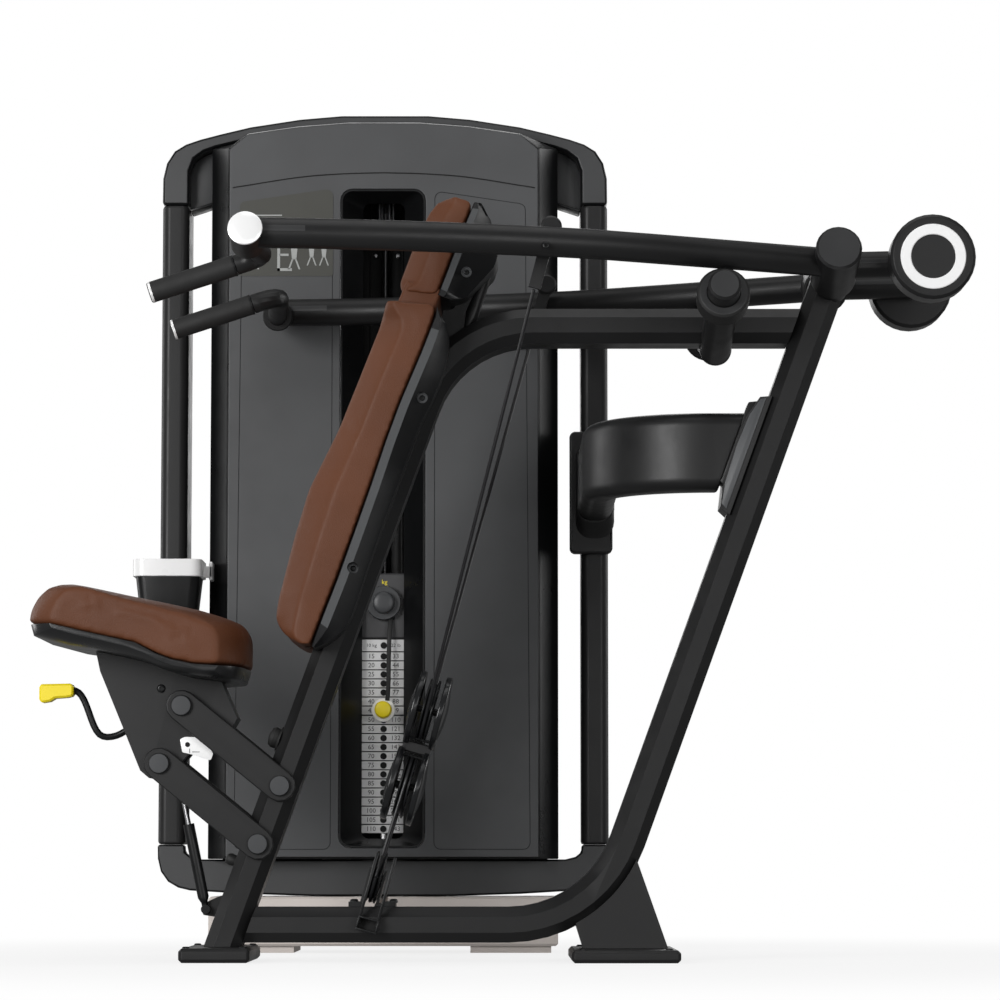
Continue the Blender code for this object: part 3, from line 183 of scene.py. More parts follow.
def blend_colours(tree, factor, first, second):
    node = tree.nodes.new("ShaderNodeMix")
    node.data_type = "RGBA"
    tree.links.new(factor, node.inputs[0])
    for socket, colour in ((node.inputs[6], first), (node.inputs[7], second)):
        if isinstance(colour, tuple):
            socket.default_value = (*colour, 1.0)
        else:
            tree.links.new(colour, socket)
    return node.outputs[2]


def make_finish(name, colour, rough, metal=0.0, spread=0.12, grain=900.0, bump=0.15, depth=0.0002,
                cells=0.0, stretch=None, wear=0.0, specular=0.5):
    """A Principled surface with tonal drift, fine relief, uneven gloss and paler edges."""
    finish = bpy.data.materials.new(name)
    finish.use_nodes = True
    tree = finish.node_tree
    link = tree.links.new
    shader = tree.nodes["Principled BSDF"]
    shader.inputs["Metallic"].default_value = metal
    shader.inputs["Specular IOR Level"].default_value = specular
    spot = tree.nodes.new("ShaderNodeTexCoord").outputs["Object"]
    if stretch:
        scaling = tree.nodes.new("ShaderNodeMapping")
        scaling.inputs["Scale"].default_value = stretch
        link(spot, scaling.inputs["Vector"])
        fine_spot = scaling.outputs[0]
    else:
        fine_spot = spot
    light = tuple(min(1.0, c * (1 + spread)) for c in colour)
    dark = tuple(c * (1 - spread) for c in colour)
    drift = ranged(tree, noise(tree, spot, 7.0, 2.0), 0.0, 1.0)
    tone = blend_colours(tree, drift, dark, light)
    speck = ranged(tree, noise(tree, fine_spot, grain * 0.6, 2.0), 0.0, 1.0, 0.25, 0.75)
    tone = blend_colours(tree, ranged(tree, speck, 0.0, 0.35, 0.0, 1.0), tone, light)
    if wear:
        edge = tree.nodes.new("ShaderNodeNewGeometry").outputs["Pointiness"]
        paler = tuple(min(1.0, c * 2.2 + 0.03) for c in colour)
        tone = blend_colours(tree, ranged(tree, edge, 0.0, wear, 0.52, 0.60), tone, paler)
    link(tone, shader.inputs["Base Color"])
    gloss = ranged(tree, noise(tree, spot, 24.0, 3.0), max(0.02, rough - 0.05), rough + 0.05)
    link(gloss, shader.inputs["Roughness"])
    relief = noise(tree, fine_spot, grain, 2.0)
    if cells:
        pebble = tree.nodes.new("ShaderNodeTexVoronoi")
        pebble.feature = "SMOOTH_F1"
        pebble.inputs["Scale"].default_value = cells
        link(spot, pebble.inputs["Vector"])
        total = tree.nodes.new("ShaderNodeMath")
        total.operation = "ADD"
        link(pebble.outputs["Distance"], total.inputs[0])
        link(relief, total.inputs[1])
        relief = total.outputs[0]
    height = tree.nodes.new("ShaderNodeBump")
    height.inputs["Strength"].default_value = bump
    height.inputs["Distance"].default_value = depth
    link(relief, height.inputs["Height"])
    link(height.outputs[0], shader.inputs["Normal"])
    return finish


FINISHES = (
    ("black_paint", (0.0110, 0.0110, 0.0113), 0.40, dict(grain=1500, bump=0.10, wear=0.3, specular=0.28)),
    ("cover_grey", (0.052, 0.0535, 0.056), 0.50, dict(grain=1200, bump=0.25, wear=0.1)),
    ("arch_grey", (0.036, 0.037, 0.0385), 0.46, dict(grain=1300, bump=0.20, wear=0.15)),
    ("dark_trim", (0.0055, 0.0058, 0.0062), 0.32, dict(grain=1300, bump=0.15, wear=0.15, specular=0.25)),
    ("leather", (0.106, 0.0355, 0.0140), 0.54,
     dict(spread=0.10, grain=700, bump=0.6, depth=0.0004, cells=650, specular=0.28)),
    ("shell_black", (0.0048, 0.0050, 0.0056), 0.44, dict(grain=1000, bump=0.3, cells=700, specular=0.3)),
    ("shell_painted_highlight", (0.050, 0.053, 0.056), 0.36, dict(spread=0.08, grain=1000, bump=0.15)),
    ("cap_grey", (0.026, 0.0265, 0.0275), 0.42, dict(spread=0.08, grain=1300, bump=0.12)),
    ("lens_grey", (0.066, 0.069, 0.073), 0.38, dict(spread=0.06, grain=1300, bump=0.12)),
    ("seat_black", (0.012, 0.0124, 0.013), 0.30, dict(grain=1000, bump=0.15, specular=0.45)),
    ("gloss_black", (0.008, 0.0084, 0.0092), 0.22, dict(grain=900, bump=0.06)),
    ("rubber", (0.0095, 0.0095, 0.0095), 0.66, dict(grain=900, bump=0.45, cells=500)),
    # Chrome parts: the near-white, mostly non-metal colour paints the bright studio reflected in them.
    ("chrome", (0.97, 0.97, 0.97), 0.22, dict(metal=0.25, spread=0.02, grain=300, bump=0.02)),
    ("silver", (0.94, 0.94, 0.94), 0.26, dict(spread=0.02, grain=900, bump=0.05)),
    ("base_beige", (0.66, 0.60, 0.56), 0.45, dict(spread=0.05, grain=1200, bump=0.12)),
    ("steel", (0.45, 0.45, 0.46), 0.32,
     dict(metal=1.0, spread=0.06, grain=500, bump=0.10, stretch=(1, 1, 0.04))),
    ("stack_steel", (0.030, 0.030, 0.032), 0.45, dict(grain=1100, bump=0.3, wear=0.4)),
    ("label", (0.74, 0.74, 0.74), 0.40, dict(spread=0.04, grain=700, bump=0.05)),
    ("ink", (0.045, 0.045, 0.045), 0.5, dict(spread=0.1, bump=0.05)),
    ("pale_ink", (0.36, 0.37, 0.36), 0.5, dict(spread=0.05, bump=0.05)),
    ("yellow", (0.90, 0.72, 0.007), 0.40, dict(spread=0.04, grain=900, bump=0.08)),
    ("pin_grey", (0.050, 0.052, 0.055), 0.36, dict(grain=1100, bump=0.12, specular=0.35)),
    ("cable_black", (0.008, 0.008, 0.009), 0.36, dict(grain=1600, bump=0.3)),
    ("placard", (0.046, 0.046, 0.038), 0.45, dict(spread=0.05, grain=900, bump=0.05)),
    # Near-black finish: painted shade on flat discs, strips and sheets drawn in place of openings, and the
    # colour of the dark header seam line.
    ("opening_shade_and_seam", (0.003, 0.003, 0.003), 0.8, dict(spread=0.2, bump=0.05)),
)
M = {name: make_finish(name, colour, rough, **more) for name, colour, rough, more in FINISHES}
CAD_LOOKS = {"brown_leather": "leather"}
OTHER_LOOKS = {"top_arch": "arch_grey", "bottom_rail": "arch_grey", "head_plate": "stack_steel",
               "pulley_block": "black_paint", "upper_wheel": "dark_trim", "lower_wheel": "dark_trim",
               "base_wheel": "dark_trim"}
# Nodes whose faces that turn away from front and back are painted near-black as shade.
SHADE_PAINTED_RETURNS = ("front_cover", "rear_cover", "top_arch", "bottom_rail")
EDGE_WIDTHS = {"front_frame_tube": 0.0095, "rear_frame_tube": 0.0095, "tie_arm": 0.0050,
               "left_upright": 0.0050, "right_upright": 0.0050, "front_cover": 0.0025, "top_arch": 0.0022,
               "bottom_rail": 0.0022}
EDGE_WIDTH = 0.0010
PIVOT_CAPPED = ("left_arm", "right_arm", "left_stop_ring", "right_stop_ring", "arm_stop_bar")


def dress_nodes():
    """Gives each CAD node its finish and soft edges, with painted shade in near-black on the returns of
    covers and grey ends on pivots.
    """
    for part in frame["record"]["subparts"]:
        thing, slot = NODES[part["node"]], part["material_slot"]
        thing.data.materials.clear()
        thing.data.materials.append(M[OTHER_LOOKS.get(part["node"], CAD_LOOKS.get(slot, slot))])
        if part["node"] in SHADE_PAINTED_RETURNS:
            # Faces not facing front or back take the near-black finish: painted shade on the returns.
            thing.data.materials.append(M["dark_trim"])
            for face in thing.data.polygons:
                face.material_index = 1 if abs(face.normal.y) < 0.95 else 0
        if part["node"] in PIVOT_CAPPED:
            thing.data.materials.append(M["cap_grey"])
            for face in thing.data.polygons:
                outward = math.copysign(math.cos(PIVOT_TILT), face.normal.y)
                axis = Vector((0, outward, math.sin(PIVOT_TILT)))
                face.material_index = 1 if face.normal.dot(axis) > 0.995 else 0
        soften(thing, EDGE_WIDTHS.get(part["node"], EDGE_WIDTH))


def soften(thing, width):
    """Rounds the edges of a node and shades its curves smoothly."""
    for name in ("custom_normal", "sharp_edge", "sharp_face"):
        if name in thing.data.attributes:
            thing.data.attributes.remove(thing.data.attributes[name])
    thing.data.shade_smooth()
    weld = thing.modifiers.new("weld", "WELD")
    weld.merge_threshold = 0.00002
    flat = thing.modifiers.new("flat", "DECIMATE")
    flat.decimate_type = "DISSOLVE"
    flat.angle_limit = math.radians(0.6)
    flat.delimit = {"MATERIAL"}
    edge = thing.modifiers.new("edge", "BEVEL")
    edge.width = width
    edge.segments = 2
    edge.limit_method = "ANGLE"
    edge.angle_limit = math.radians(28)
    edge.miter_outer = "MITER_ARC"
    shade = thing.modifiers.new("shade", "WEIGHTED_NORMAL")
    shade.weight = 60


# Shape helpers ----------
def add(name, mesh, look, body, bevel=0.0, segments=2, smooth=35.0):
    """Turns a built shape into a piece that rides on a body."""
    bmesh.ops.recalc_face_normals(mesh, faces=mesh.faces)
    if bevel:
        edges = [e for e in mesh.edges if e.is_manifold and e.calc_face_angle() > math.radians(30.0)]
        bmesh.ops.bevel(mesh, geom=edges, offset=bevel, segments=segments, profile=0.5, affect="EDGES",
                        clamp_overlap=True)
    bmesh.ops.translate(mesh, verts=mesh.verts, vec=SHIFT)
    data = bpy.data.meshes.new(name)
    mesh.to_mesh(data)
    mesh.free()
    data.shade_smooth()
    data.set_sharp_from_angle(angle=math.radians(smooth))
    thing = bpy.data.objects.new(name, data)
    bpy.context.scene.collection.objects.link(thing)
    data.materials.append(M[look])
    if body:
        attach(thing, body)
    return thing


def bridge(mesh, rings, closed=False):
    """Joins rings of points by faces; an open run gets a cap at each end, a closed one none."""
    pairs = list(zip(rings, rings[1:]))
    if closed:
        pairs.append((rings[-1], rings[0]))
    for first, second in pairs:
        count = max(len(first), len(second))
        for i in range(count):
            j = (i + 1) % count
            loop = [first[i % len(first)], first[j % len(first)],
                    second[j % len(second)], second[i % len(second)]]
            loop = list(dict.fromkeys(loop))
            if len(loop) > 2:
                mesh.faces.new(loop)
    if not closed:
        for ring in (rings[0], rings[-1]):
            if len(ring) > 2:
                mesh.faces.new(ring)
    return mesh


def prism(outline, low, high, mesh=None):
    """An outline of X and Z, drawn out along Y."""
    mesh = mesh or bmesh.new()
    rings = [[mesh.verts.new((x, y, z)) for x, z in outline] for y in (low, high)]
    return bridge(mesh, rings)


def block(x0, x1, y0, y1, z0, z1, mesh=None):
    return prism([(x0, z0), (x1, z0), (x1, z1), (x0, z1)], y0, y1, mesh=mesh)


def lathe(start, direction, profile, steps, mesh=None, closed=False):
    """Turns a profile of distances and radii about a direction; a closed profile makes a ring."""
    start, along = Vector(start), Vector(direction).normalized()
    helper = Vector((0, 0, 1)) if abs(along.z) < 0.9 else Vector((1, 0, 0))
    across = along.cross(helper).normalized()
    up = along.cross(across)
    mesh = mesh or bmesh.new()
    rings = []
    for distance, radius in profile:
        centre = start + along * distance
        if radius == 0:
            rings.append([mesh.verts.new(centre)])
            continue
        turns = [2 * math.pi * i / steps for i in range(steps)]
        rings.append([mesh.verts.new(centre + (across * math.cos(t) + up * math.sin(t)) * radius)
                      for t in turns])
    return bridge(mesh, rings, closed)


def tube(path, radius, steps, mesh=None, flat=1.0, side=(0, 1, 0.01)):
    """A round bar along a path; flat scales its thickness square to side."""
    path = [Vector(point) for point in path]
    mesh = mesh or bmesh.new()
    rings = []
    last = len(path) - 1
    for index, point in enumerate(path):
        along = (path[min(index + 1, last)] - path[max(index - 1, 0)]).normalized()
        across = (Vector(side) - along * along.dot(Vector(side))).normalized()
        up = along.cross(across)
        turns = [2 * math.pi * i / steps for i in range(steps)]
        rings.append([mesh.verts.new(point + across * math.cos(t) * radius
                                     + up * math.sin(t) * radius * flat) for t in turns])
    return bridge(mesh, rings)


def rounded(points, radius, steps=5):
    """A closed outline with rounded corners; radius may be one value or one per corner."""
    count = len(points)
    radii = radius if isinstance(radius, (list, tuple)) else [radius] * count
    result = []
    for index in range(count):
        before, corner, after = (Vector((*points[(index + k) % count], 0)) for k in (-1, 0, 1))
        into, away = (corner - before).normalized(), (after - corner).normalized()
        turn = into.angle(away)
        if radii[index] <= 0 or turn < 1e-3:
            result.append(tuple(corner.xy))
            continue
        reach = radii[index] * math.tan(turn / 2)
        centre = corner + (away - into).normalized() * (radii[index] / math.cos(turn / 2))
        start, side = corner - into * reach - centre, into * radii[index]
        for step in range(steps + 1):
            angle = turn * step / steps
            result.append(tuple((centre + start * math.cos(angle) + side * math.sin(angle)).xy))
    return result


def smooth_line(points, steps):
    """A Catmull-Rom curve through points."""
    points = [Vector(point) for point in points]
    ends = [points[0] * 2 - points[1]] + points + [points[-1] * 2 - points[-2]]
    result = []
    for index in range(1, len(ends) - 2):
        a, b, c, d = ends[index - 1:index + 3]
        for step in range(steps):
            t = step / steps
            result.append(0.5 * ((2 * b) + (c - a) * t + (2 * a - 5 * b + 4 * c - d) * t * t
                                 + (3 * b - a - 3 * c + d) * t * t * t))
    result.append(points[-1])
    return result


def bolt(mesh, place, direction, radius, height):
    """Button head with a round socket."""
    profile = [(0, 0), (0, radius), (height * 0.4, radius), (height * 0.8, radius * 0.84),
               (height, radius * 0.6), (height, radius * 0.42), (height * 0.25, radius * 0.42),
               (height * 0.25, 0)]
    lathe(place, direction, profile, 18, mesh)


def mirrored(points):
    """A line of X and Z, carried on by its mirror image in the tower's centre plane."""
    return points + [(2 * TOWER_X - x, z) for x, z in reversed(points)]


# Upholstery ----------
VOXEL = 0.0052
CLOTH_FRAMES = 20
PRESSURE = 4.0


def cushion(name, mesh, body, node, cap):
    """Inflates a closed form with cloth, by at most cap, so that its faces crown between the edges."""
    pad = add(name, mesh, "leather", None, smooth=180)
    bpy.context.view_layer.objects.active = pad
    remesh = pad.modifiers.new("remesh", "REMESH")
    remesh.mode = "VOXEL"
    remesh.voxel_size = VOXEL
    remesh.use_smooth_shade = True
    bake(pad)
    even = pad.modifiers.new("soften", "SMOOTH")
    even.factor, even.iterations = 0.5, 2
    bake(pad)
    rest = [vertex.co.copy() for vertex in pad.data.vertices]
    cloth = pad.modifiers.new("cloth", "CLOTH")
    cloth.settings.use_pressure = True
    cloth.settings.uniform_pressure_force = PRESSURE
    cloth.settings.effector_weights.gravity = 0.0
    cloth.settings.quality = 5
    cloth.point_cache.frame_start, cloth.point_cache.frame_end = 1, CLOTH_FRAMES
    for step in range(1, CLOTH_FRAMES + 1):
        bpy.context.scene.frame_set(step)
    bake(pad)
    bpy.context.scene.frame_set(1)
    for vertex, home in zip(pad.data.vertices, rest):
        move = vertex.co - home
        if move.length > cap:
            vertex.co = home + move * (cap / move.length)
    finer = pad.modifiers.new("finer", "SUBSURF")
    finer.levels = finer.render_levels = 1
    bake(pad)
    pad.data.shade_smooth()
    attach(pad, body)
    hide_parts(node)


def bake(thing):
    """Replaces a piece's mesh by the result of its modifiers."""
    view = bpy.context.evaluated_depsgraph_get()
    view.update()
    data = bpy.data.meshes.new_from_object(thing.evaluated_get(view))
    thing.modifiers.clear()
    old = thing.data
    thing.data = data
    bpy.data.meshes.remove(old)


PAD_SHRINK = 0.0012
PAD_FACET = 0.46


def faceted_pad(front, seam, half, inset, count):
    """Pad whose front corners are cut by a facet that fades out close to both ends.

    The levels run from its top end to its bottom end. Its back is hollowed round the frame tube."""
    mesh = bmesh.new()
    rings = []
    for index in range(count + 1):
        t = index / count
        f, s = along_line(front, t), along_line(seam, t)
        into = (s - f).normalized()
        fade = ease(t / 0.07) * ease((1 - t) / 0.10)
        cut = (s - f).length * (0.10 + (PAD_FACET - 0.10) * fade)
        f, s = f + into * PAD_SHRINK, s - into * 0.0004
        corner, hollow = f + into * cut, s - into * 0.012
        wide = half - PAD_SHRINK
        narrow = wide - 0.008 - (inset - 0.008) * fade
        spots = [(f, -narrow), (f, 0.0), (f, narrow), (corner, wide), (s, wide), (s, 0.062), (hollow, 0.055),
                 (hollow, -0.055), (s, -0.062), (s, -wide), (corner, -wide)]
        rings.append([mesh.verts.new((p.x, y, p.y)) for p, y in spots])
    return bridge(mesh, rings)


def ease(value):
    """Smooth step from 0 to 1."""
    value = min(1.0, max(0.0, value))
    return value * value * (3 - 2 * value)


def along_line(line, t):
    """Point at share t of a polyline's length."""
    points = [Vector(p) for p in line]
    lengths = [(b - a).length for a, b in zip(points, points[1:])]
    want = t * sum(lengths)
    for a, b, step in zip(points, points[1:], lengths):
        if want <= step:
            return a.lerp(b, want / step)
        want -= step
    return points[-1]


BACK_SEAM = [(-0.1005, 1.0495), (-0.1040, 1.0330), (-0.1266, 0.9744), (-0.1611, 0.8924), (-0.1841, 0.8295),
             (-0.2094, 0.7528), (-0.2346, 0.6810), (-0.2600, 0.6094), (-0.2816, 0.5539), (-0.2945, 0.5193),
             (-0.3005, 0.5020)]
BACK_FRONT = [(-0.181, 1.058), (-0.192, 1.020), (-0.258, 0.853), (-0.306, 0.755), (-0.330, 0.675),
              (-0.355, 0.575), (-0.3585, 0.547), (-0.3525, 0.530), (-0.3398, 0.5155), (-0.3200, 0.5045)]
BACK_REAR = [(-0.0990, 1.0380), (-0.0847, 1.0168), (-0.0806, 0.9911), (-0.0847, 0.9706), (-0.0923, 0.9398),
             (-0.1137, 0.8911), (-0.1300, 0.8583), (-0.1555, 0.7879), (-0.1832, 0.7132), (-0.2111, 0.6339),
             (-0.2365, 0.5548), (-0.2482, 0.5315), (-0.2713, 0.5107), (-0.2940, 0.4990)]
HEAD_FRONT = [(-0.0790, 1.2315), (-0.1000, 1.2245), (-0.1155, 1.2045), (-0.142, 1.145), (-0.1625, 1.090),
              (-0.160, 1.074)]
HEAD_SEAM = [(-0.0425, 1.2195), (-0.0592, 1.1790), (-0.0844, 1.1120), (-0.1010, 1.0690)]
HEAD_REAR = [(-0.0300, 1.2190), (-0.0145, 1.1960), (-0.0035, 1.1400), (-0.0090, 1.1210), (-0.0560, 1.0690),
             (-0.0800, 1.0620)]
SEAT_TOP = [(-0.7525, 0.540), (-0.7490, 0.5590), (-0.7380, 0.5790), (-0.7215, 0.5945), (-0.7020, 0.5995),
            (-0.6815, 0.6000), (-0.6564, 0.5957), (-0.5874, 0.5812), (-0.5244, 0.5686), (-0.4743, 0.5579),
            (-0.4369, 0.5466), (-0.4180, 0.5400), (-0.4075, 0.5310), (-0.4020, 0.5190), (-0.4015, 0.4722)]
SEAT_SEAM = [(-0.4209, 0.4694), (-0.4582, 0.4719), (-0.5015, 0.4792), (-0.5330, 0.4885),
             (-0.5741, 0.5056), (-0.6140, 0.5124), (-0.6764, 0.5232), (-0.7440, 0.5358)]
SEAT_UNDER = [(-0.7430, 0.5180), (-0.6840, 0.5030), (-0.6430, 0.4972), (-0.5900, 0.4859), (-0.5560, 0.4764),
              (-0.5246, 0.4639), (-0.4966, 0.4558), (-0.4344, 0.4480), (-0.4120, 0.4495)]


def seat_plan(x, y):
    """Moves a point of the side profile back by the rounding of the seat's plan at a given Y."""
    share = min(1.0, max(0.0, (x + 0.751) / 0.356))
    front = 0.040 * max(0.0, (abs(y) - 0.130) / 0.057) ** 2.2
    rear = 0.62 * y * y + 0.024 * max(0.0, (abs(y) - 0.115) / 0.072) ** 2.4
    return x + front * (1 - share) - rear * share


def seat_stations(half):
    """Y of 33 sections across the seat, closer together towards both sides."""
    return [half * math.sin((-1 + 2 * step / 32) * math.pi / 2) for step in range(33)]


def seat_cushion():
    """Hump under the thighs, nearly upright sides and a broad soft crown."""
    seam = list(reversed(SEAT_SEAM))
    mesh = bmesh.new()
    rings = []
    for y in seat_stations(0.1875):
        drop = 0.008 * max(0.0, (abs(y) - 0.09) / 0.0975) ** 2
        ring = []
        for x, z in SEAT_TOP + SEAT_SEAM:
            lift = z - at_length(seam, x)
            ring.append(mesh.verts.new((seat_plan(x, y), y, z - drop * min(1.0, max(0.0, lift / 0.06)))))
        rings.append(ring)
    return bridge(mesh, rings)


def seat_moulding():
    """Shallow shell under the seat cushion, rounded up towards its rim."""
    mesh = bmesh.new()
    rings = []
    upper = [(x, z - 0.0004) for x, z in reversed(SEAT_SEAM)]
    upper[0], upper[-1] = (-0.7480, 0.5358), (-0.4060, 0.4688)
    for y in seat_stations(0.1840):
        edge = max(0.0, (abs(y) - 0.150) / 0.034) ** 2
        ring = [mesh.verts.new((seat_plan(x, y), y, z)) for x, z in upper]
        for x, z in reversed(SEAT_UNDER):
            top = at_length(upper, x)
            level = z + (top - z) * 0.55 * edge
            ring.append(mesh.verts.new((seat_plan(x, y), y, level)))
        rings.append(ring)
    shell = add("seat_moulding", bridge(mesh, rings), "seat_black", "seat", bevel=0.0016, smooth=40)
    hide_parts("seat_shell")


def at_length(line, x):
    """Height of a profile, listed by rising x, at a given x."""
    for (x0, z0), (x1, z1) in zip(line, line[1:]):
        if x0 <= x <= x1:
            return z0 + (z1 - z0) * (x - x0) / (x1 - x0)
    return line[0][1] if x < line[0][0] else line[-1][1]


def upholstery():
    """Three cushions, the neck between back and head pads, and the shell under the seat."""
    cushion("seat_cushion", seat_cushion(), "seat", "seat_pad", 0.0025)
    cushion("back_cushion", faceted_pad(BACK_FRONT, BACK_SEAM, 0.150, 0.040, 40), "frame", "back_pad",
            0.0022)
    cushion("head_cushion", faceted_pad(HEAD_FRONT, HEAD_SEAM, 0.125, 0.034, 24), "frame", "head_pad",
            0.0018)
    neck = [(-0.150, 1.094), (-0.168, 1.050), (-0.108, 1.040), (-0.092, 1.078)]
    add("pad_neck", prism(rounded(neck, 0.006), -0.118, 0.118), "leather", "frame", bevel=0.006, segments=3)
    seat_moulding()


# Backing shells ----------
CUPS = ((-0.0541, 1.1073, 0.112), (-0.1248, 0.9014, 0.1235), (-0.2350, 0.6268, 0.1235))
SHELL_RINGS = 30


def shells():
    """Moulded backs with an upright rim beside the pad, painted grey as a highlight, and a black slope behind
    it.
    """
    cutters = bmesh.new()
    highlight_linings, screws = bmesh.new(), bmesh.new()
    for x, z, side in CUPS:
        for way in (-1, 1):
            out = (0, way, 0)
            lathe((x, way * (side - 0.006), z), out, [(0, 0), (0, 0.0088), (0.030, 0.0088), (0.030, 0)], 28,
                  cutters)
            lathe((x, way * (side - 0.0058), z), out,
                  [(0, 0), (0, 0.0085), (0.0040, 0.0085), (0.0040, 0.0078), (0.0010, 0.0070), (0.0008, 0)],
                  28, highlight_linings)
            bolt(screws, (x, way * (side - 0.0050), z), out, 0.0046, 0.0024)
    make_shell("back_shell_moulding", BACK_SEAM, BACK_REAR, 0.1445, 0.100, 0.0150, "back_shell", cutters)
    make_shell("head_shell_moulding", HEAD_SEAM, HEAD_REAR, 0.1200, 0.078, 0.0120, "head_shell", cutters)
    cutters.free()
    # The screw cup linings are light grey as a painted highlight in the recesses.
    add("pad_screw_cups", highlight_linings, "shell_painted_highlight", "frame")
    add("pad_screws", screws, "dark_trim", "frame")
    bar = [(-0.0180, 0, 1.1370), (-0.0300, 0, 1.1000), (-0.0440, 0, 1.0580), (-0.0570, 0, 1.0200)]
    add("head_bar", tube(bar, 0.0108, 20), "black_paint", "frame", bevel=0.003)


def make_shell(name, seam, back, half, inner, rim, node, cutters):
    """A shell from the pad's seam to its back outline, with screw cups cut into its sides."""
    mesh = bmesh.new()
    rings = []
    for index in range(SHELL_RINGS + 1):
        t = index / SHELL_RINGS
        s, b = along_line(seam, t), along_line(back, t)
        into = (b - s).normalized()
        deep = (b - s).length
        s = s + into * 0.0008
        edge = s + into * min(rim, deep * 0.45)
        fade = ease(t / 0.12) * ease((1 - t) / 0.12)
        low = half - 0.008 - (half - 0.008 - inner) * fade
        sides = [(s, half - 0.002), (s + into * 0.0015, half), (edge, half - 0.0015),
                 (edge + into * 0.0012, half - 0.0050), (b - into * 0.0040, low + 0.0040), (b, low)]
        spots = sides + [(p, -y) for p, y in reversed(sides)]
        rings.append([mesh.verts.new((p.x, y, p.y)) for p, y in spots])
    shell = add(name, bridge(mesh, rings), "shell_black", "frame", smooth=28)
    # The upright rim faces get the grey finish as a painted highlight; the rings near both ends stay black as
    # painted shade where the rim turns away.
    shell.data.materials.append(M["shell_painted_highlight"])
    around = len(spots)
    for face in shell.data.polygons:
        if 2 * around <= face.index < (SHELL_RINGS - 2) * around and face.index % around in (1, around - 3):
            face.material_index = 1
    carve(shell, cutters)
    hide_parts(node)


def carve(thing, cutters):
    """Takes closed cutter shapes out of a piece."""
    data = bpy.data.meshes.new("cutters")
    cutters.to_mesh(data)
    data.transform(Matrix.Translation(SHIFT))
    knife = bpy.data.objects.new("cutters", data)
    bpy.context.scene.collection.objects.link(knife)
    take = thing.modifiers.new("take", "BOOLEAN")
    take.operation, take.solver, take.object = "DIFFERENCE", "EXACT", knife
    bake(thing)
    bpy.data.objects.remove(knife)
    bpy.data.meshes.remove(data)


# Weight tower ----------
def tower_trim():
    """Corner fillers and lips, the header seam, seams round the inset panels, placard and inner lining."""
    filler = [(-0.5600, 1.3300), (-0.5600, 1.398), (-0.551, 1.420), (-0.533, 1.433), (-0.5140, 1.4395),
              (-0.5140, 1.3450)]
    lip = [(-0.5590, 1.3290), (-0.5140, 1.3440), (-0.5140, 1.3390), (-0.5560, 1.3250)]
    for label, side in SIDES:
        if side > 0:
            filler, lip = ([(2 * TOWER_X - x, z) for x, z in line] for line in (filler, lip))
        add(label + "_corner_filler", prism(filler, 0.640, 0.655), "arch_grey", "frame", bevel=0.002)
        add(label + "_corner_lip", prism(lip, 0.612, 0.668), "dark_trim", "frame", bevel=0.001)
    seam = smooth_line([(-0.511, 0, 1.335), (-0.481, 0, 1.353), (-0.445, 0, 1.360), (-0.356, 0, 1.374),
                        (-0.280, 0, 1.3800), (-0.207, 0, 1.382)], 5)
    inner = [(p.x, p.z) for p in seam if p.x > -0.478]
    line = [Vector((x, COVER_Y - 0.0002, z)) for x, z in mirrored(inner)]
    bevels = [Vector((-0.478, 0.5330, 1.3545)), Vector((-0.4830, 0.5420, 1.3500)),
              Vector((-0.5105, 0.5945, 1.3350))]
    full = list(reversed(bevels)) + line + [Vector((2 * TOWER_X - p.x, p.y, p.z)) for p in bevels]
    add("header_seam", tube(full, 0.0011, 8), "opening_shade_and_seam", "frame")
    lines = bmesh.new()
    right = rounded([(-0.116, 0.181), (0.053, 0.181), (0.045, 1.325), (-0.116, 1.349)], 0.012)
    left = rounded([(-0.467, 0.181), (-0.298, 0.181), (-0.298, 1.349), (-0.459, 1.325)], 0.012)
    for outline in (right, left):
        loop = [Vector((x, COVER_Y, z)) for x, z in outline]
        tube(loop + [loop[0]], 0.0006, 6, lines)
    add("inset_panel_seams", lines, "dark_trim", "frame")
    placard()
    lining = bmesh.new()
    for x0, x1 in ((-0.276, -0.2165), (-0.1985, -0.140)):
        block(x0, x1, 0.7205, 0.7265, 0.17, 1.375, lining)
    for x in (-0.2365, -0.1775):
        block(x - 0.0015, x + 0.0015, 0.7170, 0.7210, 0.17, 1.375, lining)
    block(-0.500, 0.086, 0.7205, 0.7265, 0.1560, 0.1725, lining)
    add("tower_lining", lining, "dark_trim", "frame", bevel=0.0008)
    screws = bmesh.new()
    for x in (-0.2270, -0.1860):
        for z in (1.262, 0.80):
            bolt(screws, (x, 0.7205, z), (0, -1, 0), 0.0045, 0.002)
    add("lining_screws", screws, "steel", "frame")
    rear_details()


def placard():
    """Instruction plate with plain diagrams and no lettering."""
    plate = rounded([(-0.297, 1.196), (-0.297, 1.3515), (-0.312, 1.3515), (-0.463, 1.329), (-0.463, 1.196)],
                    [0.004, 0.012, 0.0, 0.010, 0.004])
    add("placard", prism(plate, 0.5288, 0.5302), "placard", "frame")
    marks = bmesh.new()
    y0, y1 = 0.5281, 0.5289
    for cx in (-0.445, -0.372):
        block(cx - 0.024, cx - 0.019, y0, y1, 1.205, 1.262, marks)
        block(cx - 0.024, cx + 0.002, y0, y1, 1.205, 1.210, marks)
        block(cx - 0.020, cx - 0.004, y0, y1, 1.232, 1.236, marks)
        figure(marks, cx + 0.006, 1.222, 1.0, y0, y1)
    figure(marks, -0.335, 1.226, 0.8, y0, y1)
    figure(marks, -0.313, 1.226, 0.8, y0, y1)
    for row, wide in ((1.305, 0.052), (1.298, 0.040), (1.291, 0.047)):
        block(-0.440, -0.440 + wide, y0, y1, row - 0.0011, row + 0.0011, marks)
    add("placard_diagrams", marks, "pale_ink", "frame")


